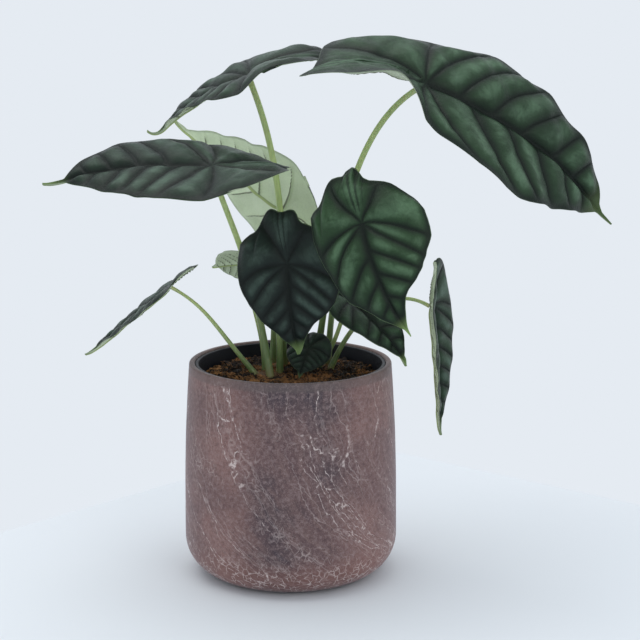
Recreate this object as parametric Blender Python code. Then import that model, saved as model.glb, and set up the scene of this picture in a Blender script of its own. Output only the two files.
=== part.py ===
"""Potted alocasia: a planter, an inner nursery pot, soil, three corms, and eleven stalks with one leaf each.

All lengths are in metres. The pot's axis is Z, its base rests on z = 0 and the plant's best side faces -Y.
"""
import math

import bmesh
import bpy
from mathutils import Matrix, Vector

MM = 0.001

# Planter: a turned shell, widest low down, drawn in a little towards the rim.
POT_HEIGHT = 143.0 * MM
POT_RIM_RADIUS = 66.8 * MM
POT_BELLY_RADIUS = 70.8 * MM
POT_FOOT_RADIUS = 45.0 * MM
POT_CORNER_HEIGHT = 26.0 * MM
POT_TAPER_POWER = 2.14
POT_WALL = 3.8 * MM
POT_FLOOR = 6.0 * MM
POT_INNER_CORNER = 18.0 * MM
POT_RIM_ROUND = 1.4 * MM

# Inner nursery pot: a thin plastic liner that stands on the planter's floor.
CLEARANCE = 0.3 * MM
NURSERY_TOP_RADIUS = 61.8 * MM
NURSERY_BASE_RADIUS = 46.0 * MM
NURSERY_TOP_Z = 142.0 * MM
NURSERY_WALL = 1.2 * MM
DRAIN_HOLES = 6
DRAIN_HOLE_RADIUS = 4.0 * MM
DRAIN_RING_RADIUS = 28.0 * MM

# Soil: fills the liner and is mounded slightly at the middle.
SOIL_EDGE_Z = 132.0 * MM
SOIL_CROWN_RISE = 5.0 * MM
CORM_TOP_Z = 138.0 * MM
CORM_DEPTH = 24.0 * MM

TURN_STEPS = 40
CORM_STEPS = 20

# Corms: centre x, y and crown radius in millimetres.
CORMS = {
    "corm_left": (-14, -13, 13.5),
    "corm_back": (-8, 13, 9.5),
    "corm_right": (18, 7, 14.5),
}

BLADE_THICKNESS = 0.8 * MM
DRIP_SHARE = 0.08
TIP_HALF_WIDTH = 0.8
LOBE_POWER = 2.6
LOBE_END_SHARE = 0.26
REAR_BLEND_START = 0.06
REAR_BLEND_SPAN = 0.22
STALK_SIDES = 7
STALK_RINGS = 11

# Leaves. All lengths are in millimetres and all angles in degrees.
#   at        where the stalk meets the blade
#   pose      compass heading of the tip (0 = +Y, 90 = +X), pitch (up is +), roll about the midrib
#   size      length from lobe to drip tip, width, share of the length behind the stalk
#   bend      droop towards the tip, lift towards the lobe, twist, sideways sweep of tip and of lobe
#   front     fold and arch of the left half, fold and arch of the right half, ahead of the stalk
#   rear      the same four, behind the stalk
#   outline   exponents that set how full the front of the outline is
#   grid      rows along the blade, columns in each half
LEAVES = {
    "leaf_upper_left": dict(at=(-27, 12, 329), pose=(-85, -23, -8), size=(128, 86, 0.41),
                            bend=(24, 28, -6, -13, 0), front=(13, 25, 11, 11),
                            rear=(24, 21, 16, 42), outline=(1.6, 1.0), grid=(12, 4)),
    "leaf_upper_right": dict(at=(86, -20, 326), pose=(81, -24, 45), size=(232, 112, 0.29),
                             bend=(40, 17, -26, 2, 27), front=(10, 44, 11, -6),
                             rear=(1, 35, 28, -14), outline=(2.4, 0.64), grid=(14, 4)),
    "leaf_left": dict(at=(-48, -55, 278), pose=(-88, 3, -19), size=(155, 99, 0.32),
                      bend=(25, 2, 19, -6, 1), front=(8, 13, 3, 28),
                      rear=(8, 13, 3, 28), outline=(1.6, 0.85), grid=(12, 4)),
    "leaf_back": dict(at=(-6, 35, 238), pose=(-66, 35, 49), size=(138, 101, 0.29),
                      bend=(-1, 18, 0, -3, -9), front=(12, 7, 10, 28),
                      rear=(7, 8, 23, 28), outline=(1.4, 0.89), grid=(12, 4)),
    "leaf_front_centre": dict(at=(-2, -45, 215), pose=(167, -80, 26), size=(90, 70, 0.35),
                              bend=(33, 0, 14, -4, -20), front=(5, 24, 3, 26),
                              rear=(5, 24, 3, 26), outline=(1.6, 0.85), grid=(11, 3)),
    "leaf_front_right": dict(at=(43, -82, 246), pose=(155, -65, 54), size=(107, 84, 0.30),
                             bend=(29, 24, -1, -17, -20), front=(-5, 49, 5, 33),
                             rear=(-5, 49, 5, 33), outline=(1.6, 0.85), grid=(11, 4)),
    "leaf_low_right": dict(at=(40, -20, 186), pose=(116, -35, 17), size=(71, 51, 0.22),
                           bend=(21, 2, -8, 7, 5), front=(7, 14, 11, 16),
                           rear=(7, 14, 11, 16), outline=(1.6, 0.85), grid=(10, 3)),
    "leaf_low_left": dict(at=(-78, -10, 195), pose=(-91, -40, 7), size=(93, 56, 0.24),
                          bend=(-3, 8, 7, -10, -6), front=(14, 12, 16, 4),
                          rear=(13, 24, 19, 11), outline=(1.5, 0.82), grid=(10, 3)),
    "leaf_far_right": dict(at=(92, -10, 181), pose=(107, -84, 1), size=(120, 53, 0.27),
                           bend=(4, -21, -5, -4, 2), front=(21, 9, 24, 1),
                           rear=(15, 3, 24, 2), outline=(1.6, 0.83), grid=(10, 3)),
    "leaf_inner_left": dict(at=(-27, 0, 208), pose=(-64, -4, 43), size=(38, 33, 0.29),
                            bend=(9, 2, -5, 4, 11), front=(1, 10, -2, 20),
                            rear=(-1, 16, -3, 9), outline=(2.2, 0.62), grid=(9, 3)),
    "leaf_young": dict(at=(12, -17, 155), pose=(200, -32, -8), size=(42, 31, 0.37),
                       bend=(0, -4, 14, -6, -14), front=(-5, 30, -6, 24),
                       rear=(-5, 30, -6, 24), outline=(1.6, 0.85), grid=(9, 3)),
}

# Stalks, in millimetres: foot x, y; the two handles of the curve; foot radius and top radius.
STALKS = {
    "leaf_upper_left": ((-4, 9), (-8, 2, 175), (5, -12, 255), 2.9, 1.9),
    "leaf_upper_right": ((17, 16), (31, 12, 235), (42, -8, 302), 3.0, 1.8),
    "leaf_left": ((-13, -21), (-25, 2, 214), (-37, -26, 232), 3.2, 1.8),
    "leaf_back": ((-12, 17), (-10, 19, 180), (-10, 24, 216), 2.8, 1.7),
    "leaf_front_centre": ((-7, -12), (-6, -14, 170), (-12, -18, 202), 2.8, 1.6),
    "leaf_front_right": ((25, 9), (28, 18, 212), (43, -36, 252), 2.6, 1.6),
    "leaf_low_right": ((17, 2), (34, -2, 158), (30, -13, 172), 2.0, 1.3),
    "leaf_low_left": ((-22, -14), (-49, -13, 168), (-53, -11, 181), 2.9, 1.2),
    "leaf_far_right": ((26, 0), (42, 2, 176), (68, -6, 195), 2.2, 1.0),
    "leaf_inner_left": ((-17, -6), (-17, -5, 167), (-30, -2, 190), 2.0, 1.2),
    "leaf_young": ((9, 6), (9, 4, 146), (12, -6, 147), 1.8, 1.2),
}

MATERIALS = {
    "frosted_glaze": ((0.20, 0.14, 0.13), 0.62, 0.0),
    "black_plastic": ((0.015, 0.016, 0.018), 0.55, 0.0),
    "soil": ((0.10, 0.055, 0.03), 0.95, 0.0),
    "corm_skin": ((0.16, 0.09, 0.05), 0.9, 0.0),
    "leaf_green": ((0.035, 0.10, 0.06), 0.42, 0.0),
    "stalk_green": ((0.30, 0.38, 0.16), 0.45, 0.0),
}


def clear_scene():
    """Empty the file of every object, mesh and material it starts with."""
    for item in list(bpy.data.objects):
        bpy.data.objects.remove(item, do_unlink=True)
    for block in list(bpy.data.meshes):
        bpy.data.meshes.remove(block)
    for block in list(bpy.data.materials):
        bpy.data.materials.remove(block)


def make_material(name):
    """A plain principled material from the table."""
    color, roughness, metallic = MATERIALS[name]
    material = bpy.data.materials.new(name)
    material.use_nodes = True
    shader = material.node_tree.nodes["Principled BSDF"]
    shader.inputs["Base Color"].default_value = (*color, 1.0)
    shader.inputs["Roughness"].default_value = roughness
    shader.inputs["Metallic"].default_value = metallic
    material.diffuse_color = (*color, 1.0)
    return material


def add_object(name, bm, material):
    """Turn a bmesh into a smooth-shaded object in the scene."""
    bmesh.ops.remove_doubles(bm, verts=bm.verts, dist=1e-7)
    bmesh.ops.recalc_face_normals(bm, faces=bm.faces)
    mesh = bpy.data.meshes.new(name)
    bm.to_mesh(mesh)
    bm.free()
    for polygon in mesh.polygons:
        polygon.use_smooth = True
    obj = bpy.data.objects.new(name, mesh)
    bpy.context.scene.collection.objects.link(obj)
    mesh.materials.append(material)
    return obj


def turned_solid(name, profile, steps, material, centre=(0.0, 0.0)):
    """Spin a closed half profile of (radius, z) points that starts and ends on the axis."""
    bm = bmesh.new()
    verts = [bm.verts.new((r, 0.0, z)) for r, z in profile]
    edges = [bm.edges.new(pair) for pair in zip(verts, verts[1:])]
    bmesh.ops.spin(bm, geom=verts + edges, axis=(0, 0, 1), cent=(0, 0, 0),
                   angle=2 * math.pi, steps=steps, use_merge=True)
    bmesh.ops.remove_doubles(bm, verts=bm.verts, dist=1e-6)
    bmesh.ops.dissolve_degenerate(bm, edges=bm.edges, dist=1e-7)
    bmesh.ops.translate(bm, verts=bm.verts, vec=(centre[0], centre[1], 0.0))
    return add_object(name, bm, material)


def arc(centre_r, centre_z, radius_r, radius_z, start, end, count):
    """Points on a quarter ellipse, angles in degrees from the +r direction."""
    points = []
    for i in range(count + 1):
        angle = math.radians(start + (end - start) * i / count)
        points.append((centre_r + radius_r * math.cos(angle), centre_z + radius_z * math.sin(angle)))
    return points


def pot_radius(z):
    """Outside radius of the planter above its rounded corner."""
    share = (z - POT_CORNER_HEIGHT) / (POT_HEIGHT - POT_CORNER_HEIGHT)
    share = max(share, 0.0)
    return POT_BELLY_RADIUS + (POT_RIM_RADIUS - POT_BELLY_RADIUS) * share ** POT_TAPER_POWER


def planter(material):
    """The thick-walled outer pot."""
    corner = POT_BELLY_RADIUS - POT_FOOT_RADIUS
    profile = [(0.0, 0.0)]
    profile += arc(POT_FOOT_RADIUS, POT_CORNER_HEIGHT, corner, POT_CORNER_HEIGHT, -90, 0, 6)
    rim_low = POT_HEIGHT - POT_RIM_ROUND
    for step in (0.3, 0.55, 0.75, 0.9):
        z = POT_CORNER_HEIGHT + (rim_low - POT_CORNER_HEIGHT) * step
        profile.append((pot_radius(z), z))
    outer = pot_radius(rim_low)
    profile += arc(outer - POT_RIM_ROUND, rim_low, POT_RIM_ROUND, POT_RIM_ROUND, 0, 90, 3)
    inner = outer - POT_WALL
    profile += arc(inner + POT_RIM_ROUND, rim_low, POT_RIM_ROUND, POT_RIM_ROUND, 90, 180, 3)
    inner_low = POT_FLOOR + POT_INNER_CORNER
    for step in (0.25, 0.5, 0.75, 1.0):
        z = rim_low + (inner_low - rim_low) * step
        profile.append((pot_radius(z) - POT_WALL, z))
    inner = profile[-1][0]
    floor_arc = arc(inner - POT_INNER_CORNER, inner_low, POT_INNER_CORNER, POT_INNER_CORNER, 0, -90, 4)
    profile += floor_arc[1:]
    profile.append((0.0, POT_FLOOR))
    return turned_solid("outer_pot", profile, TURN_STEPS, material)


def cut(target, cutters):
    """Cut hidden solids out of the target with exact booleans."""
    for cutter in cutters:
        cutter.hide_render = True
        cutter.display_type = "WIRE"
        modifier = target.modifiers.new("cut_" + cutter.name, "BOOLEAN")
        modifier.operation = "DIFFERENCE"
        modifier.solver = "EXACT"
        modifier.object = cutter


def nursery_radius(z):
    """Outside radius of the tapered liner."""
    base = POT_FLOOR + CLEARANCE
    share = (z - base) / (NURSERY_TOP_Z - base)
    return NURSERY_BASE_RADIUS + (NURSERY_TOP_RADIUS - NURSERY_BASE_RADIUS) * share


def nursery_pot(material):
    """The thin liner with drain holes in its base."""
    base = POT_FLOOR + CLEARANCE
    inside = base + NURSERY_WALL
    profile = [(0.0, base), (NURSERY_BASE_RADIUS, base)]
    profile.append((nursery_radius(0.5 * (base + NURSERY_TOP_Z)), 0.5 * (base + NURSERY_TOP_Z)))
    profile.append((NURSERY_TOP_RADIUS, NURSERY_TOP_Z))
    profile.append((NURSERY_TOP_RADIUS - NURSERY_WALL, NURSERY_TOP_Z))
    middle = 0.5 * (inside + NURSERY_TOP_Z)
    profile.append((nursery_radius(middle) - NURSERY_WALL, middle))
    profile.append((nursery_radius(inside) - NURSERY_WALL, inside))
    profile.append((0.0, inside))
    liner = turned_solid("nursery_pot", profile, TURN_STEPS, material)
    cutters = []
    for i in range(DRAIN_HOLES):
        angle = 2 * math.pi * (i + 0.5) / DRAIN_HOLES
        bm = bmesh.new()
        bmesh.ops.create_cone(bm, cap_ends=True, segments=12, radius1=DRAIN_HOLE_RADIUS,
                              radius2=DRAIN_HOLE_RADIUS, depth=6 * NURSERY_WALL)
        place = (DRAIN_RING_RADIUS * math.cos(angle), DRAIN_RING_RADIUS * math.sin(angle), base)
        bmesh.ops.translate(bm, verts=bm.verts, vec=place)
        cutters.append(add_object("drain_cutter_%d" % i, bm, material))
    cut(liner, cutters)
    return liner


def corm_profile(radius, grow):
    """Half profile of a bulb-shaped corm; grow swells it to make its pocket."""
    top = CORM_TOP_Z + grow
    low = CORM_TOP_Z - CORM_DEPTH - grow
    middle = 0.5 * (CORM_TOP_Z + CORM_TOP_Z - CORM_DEPTH)
    half = 0.5 * CORM_DEPTH + grow
    wide = radius + grow
    profile = [(0.0, low)]
    for angle in (-60, -30, 0, 30):
        a = math.radians(angle)
        profile.append((wide * math.cos(a), middle + half * math.sin(a)))
    profile.append((wide * 0.80, top))
    profile.append((0.0, top))
    return profile


def soil_height(radius):
    """Height of the mounded soil surface."""
    share = radius / (NURSERY_TOP_RADIUS - NURSERY_WALL)
    return SOIL_EDGE_Z + SOIL_CROWN_RISE * (1.0 - share * share)


def potting_soil(material):
    """The root ball, with a pocket for each corm."""
    base = POT_FLOOR + NURSERY_WALL + 2 * CLEARANCE
    gap = NURSERY_WALL + CLEARANCE
    profile = [(0.0, base)]
    for z in (base, 0.5 * (base + SOIL_EDGE_Z), SOIL_EDGE_Z):
        profile.append((nursery_radius(z) - gap, z))
    edge = profile[-1][0]
    for share in (0.86, 0.68, 0.48, 0.25, 0.0):
        profile.append((edge * share, soil_height(edge * share)))
    soil = turned_solid("potting_soil", profile, TURN_STEPS, material)
    cutters = []
    for name, (x, y, radius) in CORMS.items():
        pocket = corm_profile(radius * MM, CLEARANCE)
        top = CORM_TOP_Z + 4 * CLEARANCE
        pocket[-2] = (pocket[-2][0], top)
        pocket[-1] = (0.0, top)
        cutters.append(turned_solid("pocket_" + name, pocket, CORM_STEPS, material, (x * MM, y * MM)))
    cut(soil, cutters)
    return soil


def corms(material):
    """The three woody corms that the stalks grow from."""
    for name, (x, y, radius) in CORMS.items():
        turned_solid(name, corm_profile(radius * MM, 0.0), CORM_STEPS, material, (x * MM, y * MM))


def blend(values_front, values_rear, share):
    """Mix two numbers, front first."""
    return values_front * (1.0 - share) + values_rear * share


def smooth(value):
    """Ease a number between 0 and 1."""
    value = min(max(value, 0.0), 1.0)
    return value * value * (3.0 - 2.0 * value)


def half_width(y, leaf):
    """Half the blade's width at a distance y ahead of the stalk."""
    length, width, rear_share = leaf["size"]
    half = 0.5 * width
    rear = rear_share * length
    front = length - rear
    drip = DRIP_SHARE * length
    body = front - drip
    taper, full = leaf["outline"]
    if y >= 0:
        share = min(y / body, 1.0)
        value = half * (1.0 - share ** taper) ** full
    else:
        share = min(-y / rear, 1.0)
        value = half * math.sqrt(max(1.0 - share ** LOBE_POWER, 0.0))
    if y > body - 0.6 * drip:
        value = max(value, TIP_HALF_WIDTH * (1.0 + 1.1 * max(front - y, 0.0) / drip))
    if y < 0:
        value = max(value, LOBE_END_SHARE * half)
    return value


def pose_matrix(leaf):
    """Rotation from the blade's own axes to the world."""
    heading, pitch, roll = (math.radians(v) for v in leaf["pose"])
    return Matrix.Rotation(-heading, 3, "Z") @ Matrix.Rotation(pitch, 3, "X") @ Matrix.Rotation(roll, 3, "Y")


def midrib(leaf, count=240):
    """Samples of the midrib: distance, position, across and up directions in the blade's own axes."""
    length, width, rear_share = leaf["size"]
    rear = rear_share * length
    front = length - rear
    droop, lift, twist, sweep, rear_sweep = (math.radians(v) for v in leaf["bend"])
    samples = []
    position = Vector((0.0, 0.0, 0.0))
    previous = None
    step = length / count
    for i in range(count + 1):
        y = -rear + step * i
        ahead = min(max(y / front, 0.0), 1.0)
        behind = min(max(-y / rear, 0.0), 1.0)
        rise = -droop * ahead ** 1.5 + lift * behind ** 1.3
        side = sweep * ahead - rear_sweep * behind
        tangent = Vector((math.sin(side) * math.cos(rise), math.cos(side) * math.cos(rise), math.sin(rise)))
        if previous is not None:
            position = position + (tangent + previous) * 0.5 * step
        previous = tangent
        across = Vector((math.cos(side), -math.sin(side), 0.0))
        up = across.cross(tangent)
        turn = twist * ahead if y > 0 else -twist * behind
        turned = across * math.cos(turn) + up * math.sin(turn)
        up = up * math.cos(turn) - across * math.sin(turn)
        samples.append((y, position.copy(), turned, up))
    origin = min(samples, key=lambda s: abs(s[0]))[1]
    return [(y, p - origin, a, u) for y, p, a, u in samples]


def section(leaf, y, x):
    """Offset across and up of a point x from the midrib, following the fold and arch of its half."""
    length, width, rear_share = leaf["size"]
    side = 0 if x < 0 else 2
    share = smooth((REAR_BLEND_START * length - y) / (REAR_BLEND_SPAN * length))
    fold = math.radians(blend(leaf["front"][side], leaf["rear"][side], share))
    curl = math.radians(blend(leaf["front"][side + 1], leaf["rear"][side + 1], share)) / (0.5 * width)
    if abs(curl) < 1e-6:
        curl = 1e-6
    reach = abs(x)
    out = (math.sin(fold) - math.sin(fold - curl * reach)) / curl
    lift = (math.cos(fold - curl * reach) - math.cos(fold)) / curl
    return math.copysign(out, x), lift


def blade(name, leaf, material):
    """One thin leaf blade: a curved grid thickened to both sides."""
    length, width, rear_share = leaf["size"]
    rows, columns = leaf["grid"]
    rear = rear_share * length
    samples = midrib(leaf)
    turn = pose_matrix(leaf)
    at = Vector(leaf["at"]) * MM
    bm = bmesh.new()
    grid = []
    for i in range(rows):
        share = 0.5 * (1.0 - math.cos(math.pi * (i / (rows - 1)) ** 0.9))
        y = -rear + length * share
        nearest = min(samples, key=lambda s: abs(s[0] - y))
        half = half_width(y, leaf)
        line = []
        for j in range(-columns, columns + 1):
            out, lift = section(leaf, y, half * j / columns)
            point = nearest[1] + nearest[2] * out + nearest[3] * lift
            line.append(bm.verts.new(at + turn @ point * MM))
        grid.append(line)
    for low, high in zip(grid, grid[1:]):
        for j in range(2 * columns):
            bm.faces.new((low[j], low[j + 1], high[j + 1], high[j]))
    obj = add_object(name, bm, material)
    modifier = obj.modifiers.new("thickness", "SOLIDIFY")
    modifier.thickness = BLADE_THICKNESS
    modifier.offset = 0.0
    modifier.use_even_offset = True
    return obj


def curve_point(points, t):
    """Position and direction on a four-point curve."""
    a, b, c, d = points
    s = 1.0 - t
    position = a * s ** 3 + b * (3 * s * s * t) + c * (3 * s * t * t) + d * t ** 3
    direction = (b - a) * (3 * s * s) + (c - b) * (6 * s * t) + (d - c) * (3 * t * t)
    return position, direction.normalized()


def stalk(name, leaf, shape, material):
    """One tapering leaf stalk from its corm to just under its blade."""
    foot, first, second, foot_radius, top_radius = shape
    start = Vector((foot[0] * MM, foot[1] * MM, CORM_TOP_Z + CLEARANCE))
    up = pose_matrix(leaf) @ Vector((0.0, 0.0, 1.0))
    end = Vector(leaf["at"]) * MM
    handles = [start, Vector(first) * MM, Vector(second) * MM, end]
    arrival = (end - handles[2]).normalized()
    slope = math.sqrt(max(1.0 - arrival.dot(up) ** 2, 0.0))
    drop = 0.5 * BLADE_THICKNESS + 1.3 * CLEARANCE + top_radius * MM * slope
    handles[3] = end - up * drop
    bm = bmesh.new()
    rings = []
    side = Vector((1.0, 0.0, 0.0))
    for i in range(STALK_RINGS):
        t = i / (STALK_RINGS - 1)
        position, direction = curve_point(handles, t)
        plane = Vector((0.0, 0.0, 1.0)) if i == 0 else direction
        side = (side - plane * side.dot(plane)).normalized()
        other = plane.cross(side)
        radius = (foot_radius + (top_radius - foot_radius) * t ** 0.8) * MM
        ring = []
        for k in range(STALK_SIDES):
            angle = 2 * math.pi * k / STALK_SIDES
            spoke = side * math.cos(angle) + other * math.sin(angle)
            ring.append(bm.verts.new(position + spoke * radius))
        rings.append(ring)
    for low, high in zip(rings, rings[1:]):
        for k in range(STALK_SIDES):
            n = (k + 1) % STALK_SIDES
            bm.faces.new((low[k], low[n], high[n], high[k]))
    bm.faces.new(list(reversed(rings[0])))
    bm.faces.new(rings[-1])
    return add_object(name, bm, material)


def main():
    """Build every piece."""
    clear_scene()
    materials = {name: make_material(name) for name in MATERIALS}
    planter(materials["frosted_glaze"])
    nursery_pot(materials["black_plastic"])
    potting_soil(materials["soil"])
    corms(materials["corm_skin"])
    for name, leaf in LEAVES.items():
        blade(name, leaf, materials["leaf_green"])
        stalk_name = name.replace("leaf_", "stalk_")
        stalk(stalk_name, leaf, STALKS[name], materials["stalk_green"])


main()
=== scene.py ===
"""Potted alocasia: the visible pieces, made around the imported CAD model.

Lengths are in metres unless a name ends in _mm or _MM. The pot's axis is Z, its base rests on z = 0
and the plant's best side faces -Y. Leaves are worked out in blade coordinates, in millimetres: x
across and y along the midrib, with the stalk's joint at the origin and the drip tip at the far end.
"""
import math

import bpy
import numpy as np
from bpy.props import FloatProperty, FloatVectorProperty, IntProperty, PointerProperty
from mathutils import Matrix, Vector


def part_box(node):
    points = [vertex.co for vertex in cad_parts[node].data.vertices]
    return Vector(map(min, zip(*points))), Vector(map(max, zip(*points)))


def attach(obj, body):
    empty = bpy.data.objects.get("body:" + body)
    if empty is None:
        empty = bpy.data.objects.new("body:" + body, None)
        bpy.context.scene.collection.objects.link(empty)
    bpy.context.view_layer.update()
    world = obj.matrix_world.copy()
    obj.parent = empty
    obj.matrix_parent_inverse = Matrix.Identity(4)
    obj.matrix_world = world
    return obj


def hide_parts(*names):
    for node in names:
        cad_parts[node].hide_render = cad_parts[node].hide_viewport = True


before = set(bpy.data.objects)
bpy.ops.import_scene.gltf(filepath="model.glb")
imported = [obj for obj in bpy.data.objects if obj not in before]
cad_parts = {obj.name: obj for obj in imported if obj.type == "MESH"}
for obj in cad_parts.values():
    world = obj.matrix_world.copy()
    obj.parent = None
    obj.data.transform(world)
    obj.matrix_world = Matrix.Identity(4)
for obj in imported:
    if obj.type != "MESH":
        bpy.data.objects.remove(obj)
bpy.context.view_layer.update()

bl_info = {
    "name": "Potted Alocasia",
    "version": (1, 0, 0),
    "blender": (4, 5, 0),
    "location": "View3D > Sidebar > Alocasia",
    "description": "Builds a potted alocasia around its packed CAD frame",
    "category": "Add Mesh",
}

MM = 0.001
BODY = "root"
CLEARANCE = 0.3 * MM
FULL_TURN = 2 * math.pi

# Planter: a turned shell, widest low down, drawn in a little towards the rim.
POT_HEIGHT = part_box("outer_pot")[1].z
POT_BELLY_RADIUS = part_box("outer_pot")[1].x
POT_RIM_RADIUS = 66.8 * MM
POT_FOOT_RADIUS = 45.0 * MM
POT_CORNER_HEIGHT = 26.0 * MM
POT_TAPER_POWER = 2.14
POT_WALL = 3.8 * MM
POT_FLOOR = 6.0 * MM
POT_INNER_CORNER = 18.0 * MM
POT_RIM_ROUND = 1.4 * MM
POT_WAVINESS = 0.12 * MM

# Inner nursery pot.
NURSERY_BASE_Z, NURSERY_TOP_Z = (corner.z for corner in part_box("nursery_pot"))
NURSERY_TOP_RADIUS = 61.8 * MM
NURSERY_BASE_RADIUS = 46.0 * MM
NURSERY_WALL = 1.2 * MM
NURSERY_BASE_EDGE = 1 * MM
DRAIN_HOLES = 6
DRAIN_HOLE_RADIUS = 4.0 * MM
DRAIN_RING_RADIUS = 28.0 * MM
DRAIN_BAND = 7 * MM

# Soil and corms. Each corm has its place x, y and its radius, in millimetres.
SOIL_BASE_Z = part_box("potting_soil")[0].z
SOIL_EDGE_Z = 132.0 * MM
SOIL_CROWN_RISE = 5.0 * MM
PATCH_RINGS, PATCH_STEPS = 26, 72
CORM_TOP_Z = 138.0 * MM
CORM_DEPTH = 24.0 * MM
CORM_CROWN_DROP = 2.2 * MM
CORMS = {"corm_left": (-14, -13, 13.5), "corm_back": (-8, 13, 9.5), "corm_right": (18, 7, 14.5)}

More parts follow.
